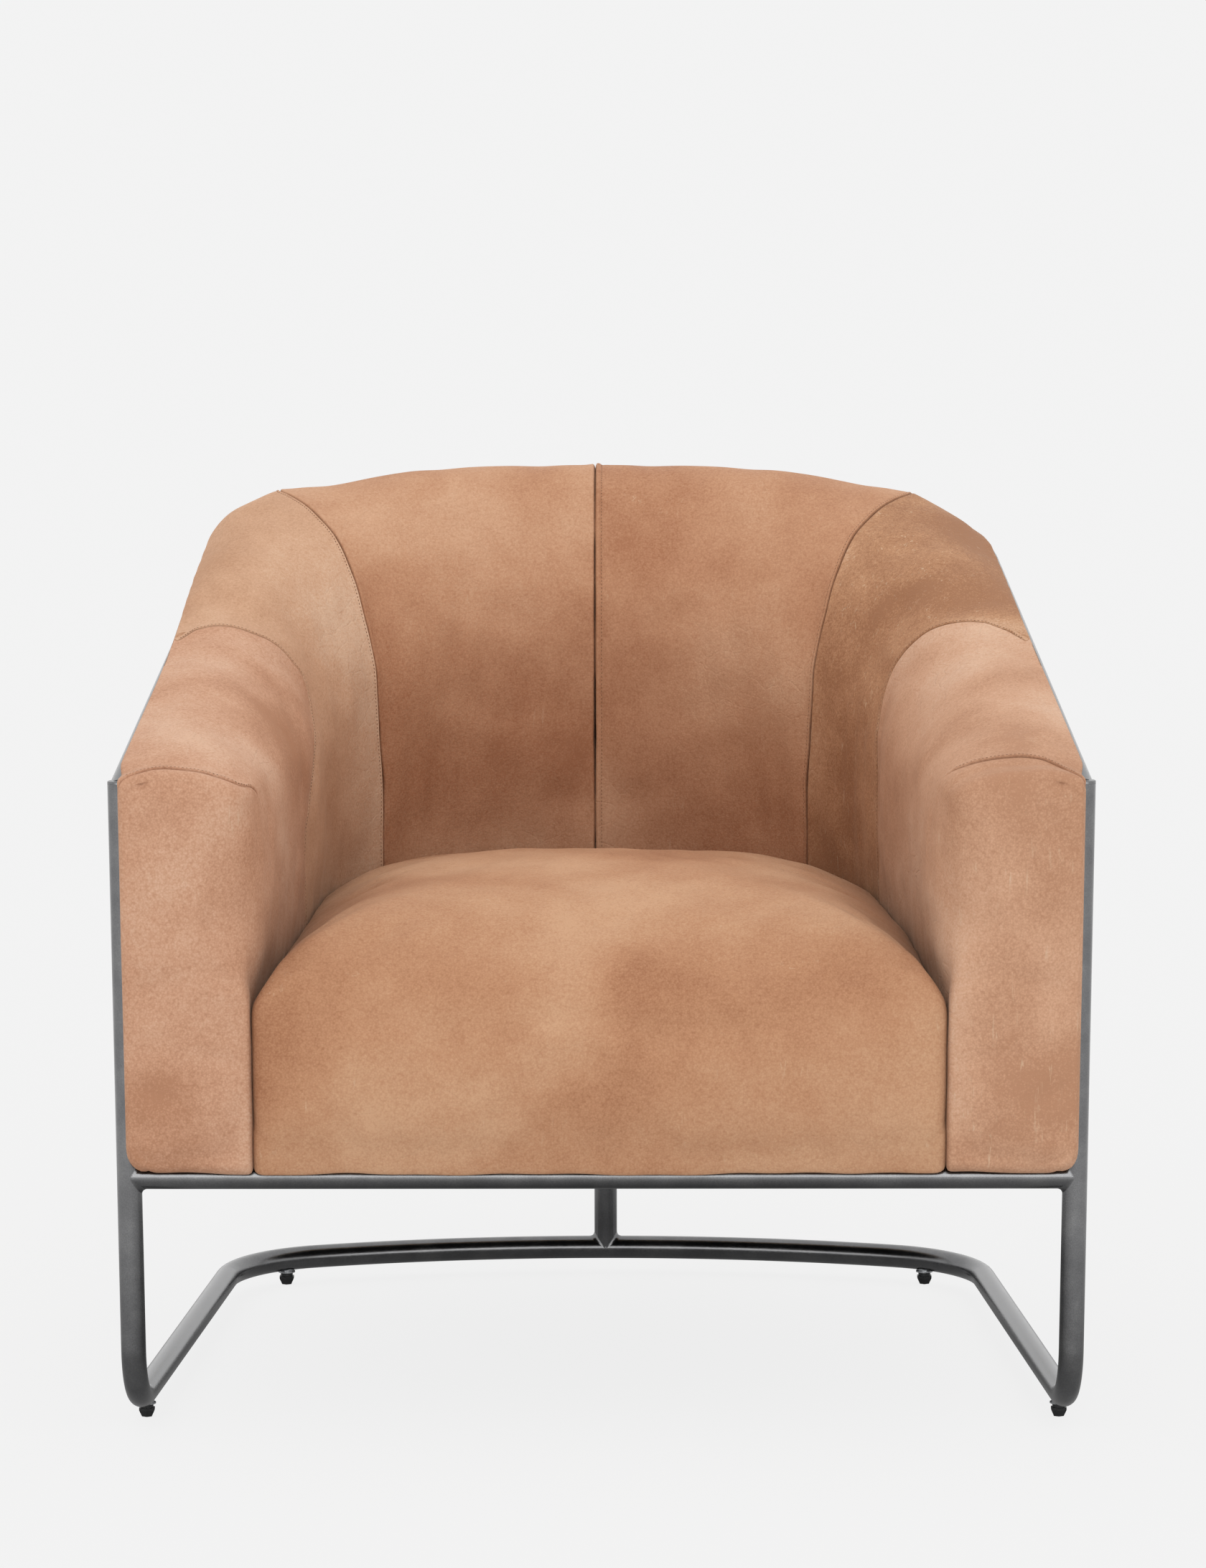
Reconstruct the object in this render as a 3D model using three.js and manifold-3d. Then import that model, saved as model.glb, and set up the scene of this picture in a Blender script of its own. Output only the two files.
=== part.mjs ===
// A tub lounge chair: a leather barrel and a crowned seat carried in a frame of bent round steel tube.
// Millimetres, +Z up. Left and right are those of someone who stands in front of the chair.
// While it is built, X runs to the right, Y runs back from the line of the front posts, Z = 0 is the floor.
import * as THREE from "three";
import { mergeVertices } from "three/addons/utils/BufferGeometryUtils.js";
import Module from "manifold-3d";

const wasm = await Module();
wasm.setup();

// Steel tube
const tubeDiameter = 20;
const tubeWall = 1.5;
const tubeSides = 16;
const cornerSteps = 8;
const rearSteps = 4;
const floorSteps = 7;
const drumSides = 20;
const shankSides = 12;
const headSides = 16;
const hexSides = 6;
const tubeRadius = tubeDiameter / 2;
const boreRadius = tubeRadius - tubeWall;

// Frame plan, on the tube's centre line: the span of the posts' tops is the width, and the rest follows it
const postSpanTop = 764;
const floorNarrowing = 14;
const rearNarrowing = 105;
const postSpanFloor = postSpanTop - floorNarrowing;
const rearSpan = postSpanTop - rearNarrowing;
const sideRun = 514;
const frameDepth = 650;
const cornerRadius = 110;
const rearBarRadius = 800;

// Frame heights
const glideLift = 12;
const floorBendRadius = 46;
const frontRailHeight = 209;
const postTop = 528;
const hoopDrop = 9;
const hoopSlope = 0.25;
const capThickness = 2;

// Clearances, and how far a cutting tool runs past what it cuts
const weldGap = 0.3;
const seatGap = 0.4;
const padGap = 0.8;
const seamGap = 0.4;
const holeGap = 0.3;
const cutOver = 60;
const mergeReach = 0.001;

// Welded brackets
const brackets = {
  thickness: 4,
  width: 30,
  height: 36,
  railWidth: 40,
  railReach: 30,
  rearWidth: 64,
  rearHeight: 44,
};

// Barrel of leather over foam
const armWidth = 102;
const innerNarrowing = 43;
const innerSeamDepth = 320;
const innerCornerShare = 5 / 7;
const innerRearRadius = 900;
const backWidth = 130;
const innerFront = postSpanTop / 2 - armWidth;
const innerSeamHalf = innerFront - innerNarrowing;
const innerCorner = innerFront * innerCornerShare;
const innerDepth = frameDepth - backWidth;
const armRise = 11;
const armHeight = postTop + armRise;
const armSlope = 0.228;
const backRise = 44;
const riseStart = 250;
const riseEnd = 650;
const lipReach = 5;
const lipLift = 2;
const lipLiftFront = -6;
const lipBlendRun = 60;
const skinThickness = 9;
const plyThickness = 15;
const plyBelowTop = 46;
const panelHeadroom = 4;
const armPanelSteps = 5;
const midSeamRun = 322;
const padSteps = 6;
const cornerSeamAngle = Math.PI / 4;
const armFrontDepth = 22;
const armFrontSplay = 1.5;
const armFrontRounding = 15;
const skirtDrop = 7;
const shellBottomGap = 2;

// Roll along the top of the barrel, at the arm front, the rear corner and the middle of the back
const rollDepths = { front: 26, corner: 178, back: 168 };
const crownShares = { front: 0.6, corner: 0.84, back: 0.72 };
const blendPower = 1.4;
const sideCount = 3;
const rollCount = 8;
const lipCount = 4;
const bottomCount = 2;
const bottomRounding = 16;

// Seat
const railWoodHeight = 50;
const railWoodThickness = 25;
const woodBehindPost = 2;
const rearWoodInset = 24;
const strapThickness = 1.8;
const strapWidth = 50;
const strapCount = 5;
const crossStrapCount = 3;
const strapPitch = 88;
const crossStrapPitch = 130;
const deckClearance = 1;
const seatCrown = 428;
const seatCrownPlace = 230;
const seatFall = 30;
const fallPower = 1.5;
const domePower = 2.4;
const seatEdgeFront = 338;
const seatEdgeRear = 392;
const seatEdgePower = 0.8;
const seatFrontDepth = 20;
const seatBelly = 4;
const seatCornerRounding = 14;
const frontCount = 6;
const cornerCount = 3;
const alongCount = 6;
const dustThickness = 1.2;
const dustMargin = 14;

// Levelling glides
const glide = {
  stud: 4,
  studTop: 17,
  neck: 5,
  neckHeight: 3,
  flange: 7.2,
  flangeHeight: 2,
  base: 4.6,
  socketFloor: 3,
};
const insert = { body: 5.6, above: 2, flange: 7.4, flangeHeight: 1.2 };
const frontGlideSetback = 62;
const rearGlideShare = 0.77;

// Screws
const screw = { shank: 3, length: 24, head: 5.6, headHeight: 3.2 };
const hoopTabSetback = 300;
const hoopScrewDrop = 21;
const railTabInset = 172;
const railTabOffset = postSpanTop / 2 - railTabInset;
const rearScrewOffset = 22;

// Heights and plans that follow from the sizes above
const baseHeight = glideLift + tubeRadius;
const hoopFrontHeight = postTop - hoopDrop;
const railTop = frontRailHeight + tubeRadius;
const shellBottom = railTop + shellBottomGap;
const skirtBottom = railTop - skirtDrop;
const woodBottom = railTop + weldGap;
const woodTop = woodBottom + railWoodHeight;
const deckTop = woodTop + 2 * (strapThickness + weldGap) + deckClearance;
const shellInset = tubeRadius + weldGap + brackets.thickness + padGap;
const plyInset = shellInset + skinThickness;
const plyInside = plyInset + plyThickness;
const aboveAll = 2 * postTop;
const baseTaper = Math.atan((postSpanFloor - rearSpan) / 2 / sideRun);
const hoopTaper = Math.atan((postSpanTop - rearSpan) / 2 / sideRun);
const innerTaper = Math.atan((innerFront - innerSeamHalf) / innerSeamDepth);
const { smoothstep } = THREE.MathUtils;
const hoopAt = (y) => hoopFrontHeight + hoopSlope * y;

// The crown of the barrel, and the edge of its leather where that lies over the hoop.
const topAt = (y) => armHeight + armSlope * Math.max(y, 0) + backRise * smoothstep(y, riseStart, riseEnd);
const lipAt = (y) => {
  const lift = lipLiftFront + (lipLift - lipLiftFront) * smoothstep(y, 0, lipBlendRun);
  return hoopAt(Math.max(y, 0)) + tubeRadius + lift;
};

// Materials
const finish = (color, roughness, metalness) => () =>
  new THREE.MeshStandardMaterial({ color, roughness, metalness });
const gunmetal = finish(0x57585b, 0.42, 0.85);
const zinc = finish(0xa9abae, 0.35, 0.95);
const nylon = finish(0x17181a, 0.5, 0);
const nubuck = finish(0xc8987a, 0.85, 0);
const beech = finish(0xcaa574, 0.7, 0);
const birchPly = finish(0xd3b78a, 0.75, 0);
const webbing = finish(0x8c8377, 0.9, 0);
const cambric = finish(0x1d1d1f, 0.95, 0);

// Half of a U-shaped plan: a straight side that tapers inward, a corner arc and a shallow rear arc.
class UPlan {
  constructor(frontHalf, taper, corner, rearRadius, depth) {
    Object.assign(this, { frontHalf, taper, corner, rearRadius, depth });
    const c = Math.cos(taper);
    const s = Math.sin(taper);
    this.rearCentreY = depth - rearRadius;
    const startX = frontHalf - corner * c;
    const startY = -corner * s - this.rearCentreY;
    const half = startY * c - startX * s;
    const reach = rearRadius - corner;
    this.run = -half + Math.sqrt(half * half - startX * startX - startY * startY + reach * reach);
    this.cornerX = startX - this.run * s;
    this.cornerY = startY + this.run * c + this.rearCentreY;
    this.rearAngle = Math.PI / 2 - Math.atan2(this.cornerX, this.cornerY - this.rearCentreY);
    this.cornerLength = corner * (this.rearAngle - taper);
    this.length = this.run + this.cornerLength + rearRadius * (Math.PI / 2 - this.rearAngle);
  }
  inset(distance) {
    const front = this.frontHalf - distance / Math.cos(this.taper);
    const [corner, rear, depth] = [this.corner, this.rearRadius, this.depth].map((size) => size - distance);
    return new UPlan(front, this.taper, corner, rear, depth);
  }
  // The place whose outward normal stands at this angle from X, on the corner or the rear arc.
  round(angle) {
    const normal = new THREE.Vector2(Math.cos(angle), Math.sin(angle));
    const onCorner = angle <= this.rearAngle;
    const centre = onCorner ? [this.cornerX, this.cornerY] : [0, this.rearCentreY];
    const radius = onCorner ? this.corner : this.rearRadius;
    return { point: new THREE.Vector2(...centre).addScaledVector(normal, radius), normal };
  }
  // The place at a length along the plan, counted from the front.
  at(length) {
    if (length <= this.run) {
      const normal = new THREE.Vector2(Math.cos(this.taper), Math.sin(this.taper));
      const point = new THREE.Vector2(this.frontHalf - length * normal.y, length * normal.x);
      return { point, normal };
    }
    const past = length - this.run;
    if (past <= this.cornerLength) return this.round(this.taper + past / this.corner);
    return this.round(this.rearAngle + (past - this.cornerLength) / this.rearRadius);
  }
  // How far a ray from inside runs before it meets the plan.
  reach(from, ray) {
    const side = new THREE.Vector2(Math.cos(this.taper), Math.sin(this.taper));
    const toSide = (this.frontHalf * side.x - from.dot(side)) / ray.dot(side);
    if (from.y + toSide * ray.y <= this.run * side.x) return toSide;
    const toArc = (x, y, radius) => {
      const offset = new THREE.Vector2(from.x - x, from.y - y);
      const along = offset.dot(ray);
      return -along + Math.sqrt(along * along - offset.lengthSq() + radius * radius);
    };
    const toCorner = toArc(this.cornerX, this.cornerY, this.corner);
    const met = from.clone().addScaledVector(ray, toCorner);
    if (Math.atan2(met.y - this.cornerY, met.x - this.cornerX) <= this.rearAngle) return toCorner;
    return toArc(0, this.rearCentreY, this.rearRadius);
  }
  // Lengths from the corner's start to the last one before the middle line, where no station stands.
  roundLengths(cornerSteps, rearSteps) {
    const lengths = [];
    for (let i = 0; i < cornerSteps; i++) lengths.push(this.run + (this.cornerLength * i) / cornerSteps);
    const rearStart = this.run + this.cornerLength;
    const rearStep = (this.length - rearStart) / (rearSteps - middleShare);
    for (let i = 0; i < rearSteps; i++) lengths.push(rearStart + rearStep * i);
    return lengths;
  }
}

// Of the rear arc's steps on one side, the share that crosses the middle line.
const middleShare = 0.5;

const basePlan = new UPlan(postSpanFloor / 2, baseTaper, cornerRadius, rearBarRadius, frameDepth);
const hoopPlan = new UPlan(postSpanTop / 2, hoopTaper, cornerRadius, rearBarRadius, frameDepth);
const shellPlan = hoopPlan.inset(shellInset);
const lipPlan = hoopPlan.inset(-lipReach);
const innerPlan = new UPlan(innerFront, innerTaper, innerCorner, innerRearRadius, innerDepth);

// Solids

function solid(geometry) {
  const plain = geometry.clone();
  plain.deleteAttribute("normal");
  plain.deleteAttribute("uv");
  const merged = mergeVertices(plain, mergeReach);
  const mesh = new wasm.Mesh({
    numProp: 3,
    vertProperties: merged.attributes.position.array,
    triVerts: new Uint32Array(merged.index.array),
  });
  return new wasm.Manifold(mesh);
}

function geometryOf(made) {
  const mesh = made.getMesh();
  const geometry = new THREE.BufferGeometry();
  geometry.setAttribute("position", new THREE.BufferAttribute(mesh.vertProperties, 3));
  geometry.setIndex(new THREE.BufferAttribute(mesh.triVerts, 1));
  geometry.computeVertexNormals();
  return geometry;
}

const cut = (body, ...tools) => tools.reduce((left, tool) => left.subtract(tool), body);
const mirrorSolid = (made) => made.mirror([1, 0, 0]);
const onSide = (side, made) => (side > 0 ? made : mirrorSolid(made));

const chair = new THREE.Group();

function add(name, shape, material) {
  const geometry = shape.isBufferGeometry ? shape : geometryOf(shape);
  const mesh = new THREE.Mesh(geometry, material());
  mesh.name = name;
  chair.add(mesh);
}

const sides = [
  ["left", -1],
  ["right", 1],
];

// A path that steps exactly at its stations, so a bend gets its steps and a straight none.
class StationCurve extends THREE.Curve {
  constructor(stations) {
    super();
    this.stations = stations;
  }
  station(t) {
    return this.stations[Math.round(t * (this.stations.length - 1))];
  }
  getPoint(t, target = new THREE.Vector3()) {
    return target.copy(this.station(t).point);
  }
  getTangent(t, target = new THREE.Vector3()) {
    return target.copy(this.station(t).tangent);
  }
  getUtoTmapping(u) {
    return u;
  }
}

function ring(radius, count) {
  const points = [];
  for (let i = 0; i < count; i++) {
    const angle = (2 * Math.PI * (i + 0.5)) / count;
    points.push(new THREE.Vector2(radius * Math.cos(angle), radius * Math.sin(angle)));
  }
  return points;
}

function rod(stations, radius, bore = 0) {
  const section = new THREE.Shape(ring(radius, tubeSides));
  if (bore > 0) section.holes.push(new THREE.Path(ring(bore, tubeSides)));
  const extrudePath = new StationCurve(stations);
  return solid(new THREE.ExtrudeGeometry(section, { steps: stations.length - 1, extrudePath }));
}

function straight(from, to) {
  const tangent = to.clone().sub(from).normalize();
  return [from, to].map((point) => ({ point, tangent }));
}

// A path with one round bend between two straights.
function bend(from, corner, to, radius, steps) {
  const into = corner.clone().sub(from).normalize();
  const away = to.clone().sub(corner).normalize();
  const turn = into.angleTo(away);
  const axis = into.clone().cross(away).normalize();
  const start = corner.clone().addScaledVector(into, -radius * Math.tan(turn / 2));
  const centre = start.clone().addScaledVector(axis.clone().cross(into), radius);
  const stations = [{ point: from, tangent: into }];
  for (let i = 0; i <= steps; i++) {
    const spin = (turn * i) / steps;
    const point = start.clone().sub(centre).applyAxisAngle(axis, spin).add(centre);
    stations.push({ point, tangent: into.clone().applyAxisAngle(axis, spin) });
  }
  stations.push({ point: to, tangent: away });
  return stations;
}

// Stations round the rear of a plan, from its right side to its left one, at a height that may climb with Y.
function roundTheBack(plan, heightAt) {
  const half = plan.roundLengths(cornerSteps, rearSteps).map((length) => {
    const { point, normal } = plan.at(length);
    const tangent = new THREE.Vector3(-normal.y, normal.x, heightAt(normal.x) - heightAt(0)).normalize();
    return { point: new THREE.Vector3(point.x, point.y, heightAt(point.y)), tangent };
  });
  const back = [...half].reverse().map(({ point, tangent }) => ({
    point: new THREE.Vector3(-point.x, point.y, point.z),
    tangent: new THREE.Vector3(tangent.x, -tangent.y, -tangent.z),
  }));
  return [...half, ...back];
}

function block(low, high) {
  const size = new THREE.Vector3(...high).sub(new THREE.Vector3(...low));
  const box = new THREE.BoxGeometry(size.x, size.y, size.z);
  return solid(box.translate(low[0] + size.x / 2, low[1] + size.y / 2, low[2] + size.z / 2));
}

function drum(radius, from, to, count = drumSides) {
  const axis = to.clone().sub(from);
  const cylinder = new THREE.CylinderGeometry(radius, radius, axis.length(), count);
  const up = new THREE.Vector3(0, 1, 0);
  cylinder.applyQuaternion(new THREE.Quaternion().setFromUnitVectors(up, axis.clone().normalize()));
  return solid(cylinder.translate(...from.clone().add(to).divideScalar(2).toArray()));
}

// A closed wall that stands on a plan outline, its top at a height for each Y.
function wall(outline, bottom, heightAt) {
  const geometry = new THREE.ExtrudeGeometry(new THREE.Shape(outline), { depth: 1, bevelEnabled: false });
  const position = geometry.attributes.position;
  for (let i = 0; i < position.count; i++) {
    position.setZ(i, position.getZ(i) > 0 ? heightAt(position.getY(i)) : bottom);
  }
  return solid(geometry);
}

const mirrored = ({ x, y }) => new THREE.Vector2(-x, y);

// Everything inside a plan, from one Y back.
function interior(plan, frontY, bottom, top) {
  const lengths = [-cutOver, ...plan.roundLengths(cornerSteps, rearSteps)];
  const half = lengths.map((length) => plan.at(length).point);
  const all = [...half, ...[...half].reverse().map(mirrored)];
  const front = block([-frameDepth, -frameDepth, bottom - cutOver], [frameDepth, frontY, top + cutOver]);
  return cut(wall(all, bottom, () => top), front);
}

// A closed loft through rings of equal count.
function loft(rings) {
  const count = rings[0].length;
  const steps = rings.length - 1;
  const geometry = new THREE.CylinderGeometry(1, 1, 1, count, steps);
  const middles = rings.map((points) =>
    points.reduce((sum, point) => sum.add(point), new THREE.Vector3()).divideScalar(count),
  );
  const position = geometry.attributes.position;
  for (let i = 0; i < position.count; i++) {
    const row = Math.round((0.5 - position.getY(i)) * steps);
    const x = position.getX(i);
    const z = position.getZ(i);
    const column = Math.round(count - (Math.atan2(x, z) / (2 * Math.PI)) * count) % count;
    const place = Math.hypot(x, z) < 0.5 ? middles[row] : rings[row][column];
    position.setXYZ(i, place.x, place.y, place.z);
  }
  return solid(geometry);
}

// A pillow: rings between two end points, each place given by its column and row.
function pillow(columns, rows, placeOf) {
  const shape = [];
  for (let row = 0; row < rows; row++) shape.push(new THREE.Vector2(row > 0 && row < rows - 1 ? 1 : 0, row));
  const geometry = new THREE.LatheGeometry(shape, columns);
  const position = geometry.attributes.position;
  for (let i = 0; i < position.count; i++) {
    const row = Math.round(position.getY(i));
    const column = Math.floor(i / rows) % columns;
    position.setXYZ(i, ...placeOf(column, row).toArray());
  }
  return solid(geometry);
}

// A board that stands on a plan: outer and inner faces counted inward from the plan, and a top for each Y.
function board(plan, lengths, outer, inner, bottom, topOf, whole) {
  const half = lengths.map((length) => {
    const { point, normal } = plan.at(length);
    const [out, inside] = [outer, inner].map((inset) => point.clone().addScaledVector(normal, -inset));
    const corner = (place, z) => new THREE.Vector3(place.x, place.y, z);
    const [outTop, inTop] = [out, inside].map((place) => corner(place, topOf(place.y)));
    return [corner(inside, bottom), inTop, outTop, corner(out, bottom)];
  });
  const across = ({ x, y, z }) => new THREE.Vector3(-x, y, z);
  return loft(whole ? [...half, ...[...half].reverse().map((points) => points.map(across))] : half);
}

// Frame: two legs that turn back along the floor, the rear base, the front rail, the rear post and the hoop

const baseLoop = roundTheBack(basePlan, () => baseHeight);
const hoopLoop = roundTheBack(hoopPlan, hoopAt);

const spread = (side, z) => {
  const share = (z - baseHeight) / (postTop - baseHeight);
  return (side * (postSpanFloor + (postSpanTop - postSpanFloor) * share)) / 2;
};
const postTube = postTop - capThickness - weldGap;
const legStations = sides.map(([, side]) => {
  const from = new THREE.Vector3(spread(side, postTube), 0, postTube);
  const corner = new THREE.Vector3(spread(side, baseHeight), 0, baseHeight);
  const end = basePlan.at(basePlan.run).point;
  const away = new THREE.Vector3(side * end.x, end.y, baseHeight);
  const short = away.clone().sub(corner).setLength(weldGap);
  return bend(from, corner, away.sub(short), floorBendRadius, floorSteps);
});
const legRods = legStations.map((stations) => rod(stations, tubeRadius + weldGap));
const postRooms = sides.map(([, side]) => {
  const ends = [0, 2 * postTop].map((z) => new THREE.Vector3(spread(side, z), 0, z));
  return drum(tubeRadius + weldGap, ...ends, tubeSides);
});

const glidePlaces = sides.flatMap(([name, side]) => {
  const front = basePlan.at(frontGlideSetback).point;
  const angle = basePlan.taper + (basePlan.rearAngle - basePlan.taper) * rearGlideShare;
  const rear = basePlan.round(angle).point;
  return [
    { name: "front_" + name, x: side * front.x, y: front.y },
    { name: "rear_" + name, x: side * rear.x, y: rear.y },
  ];
});
const insertHoles = glidePlaces.map(({ x, y }) =>
  drum(insert.body + holeGap, new THREE.Vector3(x, y, 0), new THREE.Vector3(x, y, baseHeight)),
);

sides.forEach(([name], i) => {
  add(name + "_leg_tube", cut(rod(legStations[i], tubeRadius, boreRadius), ...insertHoles), gunmetal);
});
add("rear_base_tube", cut(rod(baseLoop, tubeRadius, boreRadius), ...insertHoles), gunmetal);

const railEnd = spread(1, frontRailHeight);
const railEnds = [railEnd, -railEnd].map((x) => new THREE.Vector3(x, 0, frontRailHeight));
const railLine = straight(...railEnds);
const railRod = rod(railLine, tubeRadius + seatGap);
add("front_rail_tube", cut(rod(railLine, tubeRadius, boreRadius), ...legRods), gunmetal);

sides.forEach(([name, side], i) => {
  const end = hoopPlan.at(hoopPlan.run).point;
  const from = new THREE.Vector3((side * postSpanTop) / 2, 0, hoopAt(0));
  const to = new THREE.Vector3(side * end.x, end.y, hoopAt(end.y));
  const short = to.clone().sub(from).setLength(weldGap);
  const arm = rod(straight(from, to.sub(short)), tubeRadius, boreRadius);
  const ahead = block([-frameDepth, -cutOver, 0], [frameDepth, 0, 2 * postTop]);
  add(name + "_hoop_tube", cut(arm, postRooms[i], ahead), gunmetal);
  const capLow = new THREE.Vector3(spread(side, postTop), 0, postTop - capThickness);
  add(name + "_post_cap", drum(tubeRadius, capLow, capLow.clone().setZ(postTop), tubeSides), gunmetal);
});
add("rear_hoop_tube", rod(hoopLoop, tubeRadius, boreRadius), gunmetal);

const rearLow = new THREE.Vector3(0, frameDepth, baseHeight);
const rearHigh = new THREE.Vector3(0, frameDepth, hoopAt(frameDepth));
const rearPost = rod(straight(rearLow, rearHigh), tubeRadius, boreRadius);
const looseRods = [baseLoop, hoopLoop].map((loop) => rod(loop, tubeRadius + weldGap));
add("rear_post_tube", cut(rearPost, ...looseRods), gunmetal);

// Screws and the welded brackets that they pass through

const screws = [];

function driveScrew(name, head, direction) {
  const along = (distance) => head.clone().addScaledVector(direction, distance);
  const top = along(-screw.headHeight);
  const body = drum(screw.shank, along(-screw.headHeight / 2), along(screw.length), shankSides);
  const made = body.add(drum(screw.head, top, head, headSides));
  const hole = drum(screw.shank + holeGap, top, along(screw.length + holeGap), shankSides);
  screws.push({ name, made, hole });
}

const bracketParts = [];

// A flat bar that hangs from the right side of the hoop, and where its screw goes in.
function hoopTab() {
  const { point, normal } = hoopPlan.at(hoopTabSetback / Math.cos(hoopTaper));
  const height = hoopAt(point.y);
  const inner = tubeRadius + weldGap;
  const bar = new THREE.BoxGeometry(brackets.thickness, brackets.width, brackets.height);
  bar.translate(-inner - brackets.thickness / 2, 0, height - brackets.height / 2);
  bar.rotateZ(Math.atan2(normal.y, normal.x));
  bar.translate(point.x, point.y, 0);
  const out = new THREE.Vector3(normal.x, normal.y, 0);
  const head = new THREE.Vector3(point.x, point.y, height - hoopScrewDrop);
  head.addScaledVector(out, -inner + weldGap);
  return { tab: solid(bar), head, direction: out.negate() };
}

const railLoose = rod(railLine, tubeRadius + weldGap);
sides.forEach(([name, side]) => {
  const { tab, head, direction } = hoopTab();
  const turned = ({ x, y, z }) => new THREE.Vector3(side * x, y, z);
  driveScrew(name + "_hoop_screw", turned(head), turned(direction));
  bracketParts.push([name + "_hoop_bracket", onSide(side, tab)]);

  const tabTop = woodBottom - weldGap;
  const x = side * railTabOffset;
  const low = [x - brackets.railWidth / 2, 0, tabTop - brackets.thickness];
  const high = [x + brackets.railWidth / 2, tubeRadius + brackets.railReach, tabTop];
  bracketParts.push([name + "_rail_bracket", cut(block(low, high), railLoose)]);
  const underY = tubeRadius + brackets.railReach / 2;
  const under = new THREE.Vector3(x, underY, tabTop - brackets.thickness - weldGap);
  driveScrew(name + "_rail_screw", under, new THREE.Vector3(0, 0, 1));
});

const rearPlate = frameDepth - tubeRadius - weldGap;
const rearPlateMiddle = (woodBottom + woodTop) / 2;
bracketParts.push([
  "rear_bracket",
  block(
    [-brackets.rearWidth / 2, rearPlate - brackets.thickness, rearPlateMiddle - brackets.rearHeight / 2],
    [brackets.rearWidth / 2, rearPlate, rearPlateMiddle + brackets.rearHeight / 2],
  ),
]);
sides.forEach(([name, side]) => {
  const head = new THREE.Vector3(side * rearScrewOffset, rearPlate + weldGap, rearPlateMiddle);
  driveScrew(name + "_rear_screw", head, new THREE.Vector3(0, -1, 0));
});
const screwHoles = screws.map(({ hole }) => hole);
bracketParts.forEach(([name, made]) => add(name, cut(made, ...screwHoles), gunmetal));
screws.forEach(({ name, made }) => add(name, made, zinc));

// Levelling glides: a thread insert in the tube, a stud and a moulded foot

glidePlaces.forEach(({ name, x, y }) => {
  const tubeUnder = baseHeight - tubeRadius - weldGap;
  const flangeUnder = tubeUnder - insert.flangeHeight;
  const insertTop = baseHeight + insert.above;
  const insertProfile = [
    new THREE.Vector2(glide.stud + holeGap, flangeUnder),
    new THREE.Vector2(insert.flange, flangeUnder),
    new THREE.Vector2(insert.flange, tubeUnder),
    new THREE.Vector2(insert.body, tubeUnder),
    new THREE.Vector2(insert.body, insertTop),
    new THREE.Vector2(glide.stud + holeGap, insertTop),
    new THREE.Vector2(glide.stud + holeGap, flangeUnder),
  ];
  const sleeve = new THREE.LatheGeometry(insertProfile, drumSides).rotateX(Math.PI / 2);
  add(name + "_thread_insert", solid(sleeve.translate(x, y, 0)), zinc);

  const footTop = flangeUnder - weldGap;
  const flangeTop = footTop - glide.neckHeight;
  const flangeLow = flangeTop - glide.flangeHeight;
  const at = (z) => new THREE.Vector3(x, y, z);
  const taper = new THREE.CylinderGeometry(glide.flange, glide.base, flangeLow, hexSides);
  taper.rotateX(Math.PI / 2).translate(x, y, flangeLow / 2);
  const hex = new THREE.CylinderGeometry(glide.flange, glide.flange, glide.flangeHeight, hexSides);
  hex.rotateX(Math.PI / 2).translate(x, y, flangeLow + glide.flangeHeight / 2);
  const neck = drum(glide.neck + holeGap, at(flangeLow), at(footTop));
  const socket = drum(glide.stud + holeGap, at(glide.socketFloor - holeGap), at(footTop + cutOver));
  add(name + "_glide_foot", cut(solid(taper).add(solid(hex)).add(neck), socket), nylon);
  add(name + "_glide_stud", drum(glide.stud, at(glide.socketFloor), at(glideLift + glide.studTop)), zinc);
});

// Inner frame: beech seat rails, plywood arm and back panels

const shownHoles = (side) => (side > 0 ? screwHoles : screwHoles.map(mirrorSolid));
const plyTopAt = (y) => topAt(y) - plyBelowTop;
const frontEdge = (y) => block([-frameDepth, -frameDepth, 0], [frameDepth, y, aboveAll]);

const panelRise = panelHeadroom * weldGap;
const armLengths = [-cutOver];
for (let i = 0; i <= armPanelSteps; i++) armLengths.push((hoopPlan.run * i) / armPanelSteps);
const backLengths = hoopPlan.roundLengths(cornerSteps, rearSteps);
const armBoard = board(hoopPlan, armLengths, plyInset, plyInside, woodBottom, plyTopAt, false);
const backBoard = board(hoopPlan, backLengths, plyInset, plyInside, woodBottom, plyTopAt, true);
const jointGap = board(
  hoopPlan,
  [hoopPlan.run - weldGap, hoopPlan.run + weldGap],
  plyInset - cutOver,
  plyInside + cutOver / 2,
  0,
  () => aboveAll,
  false,
);
// The room that the panels take up inside the pads.
const panelRoom = board(
  hoopPlan,
  [...armLengths, ...backLengths.slice(1)],
  plyInset - weldGap,
  plyInside + weldGap,
  deckTop - cutOver,
  (y) => plyTopAt(y) + panelRise,
  true,
);

const frontWoodBack = woodBehindPost + railWoodThickness;
const rearWoodFront = innerDepth + rearWoodInset;
const rearWoodBack = rearWoodFront + railWoodThickness;
const sideWoodInset = plyInside + weldGap;
const sideWoodOut = hoopPlan.inset(sideWoodInset);
const sideWoodIn = sideWoodOut.inset(railWoodThickness);

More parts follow.
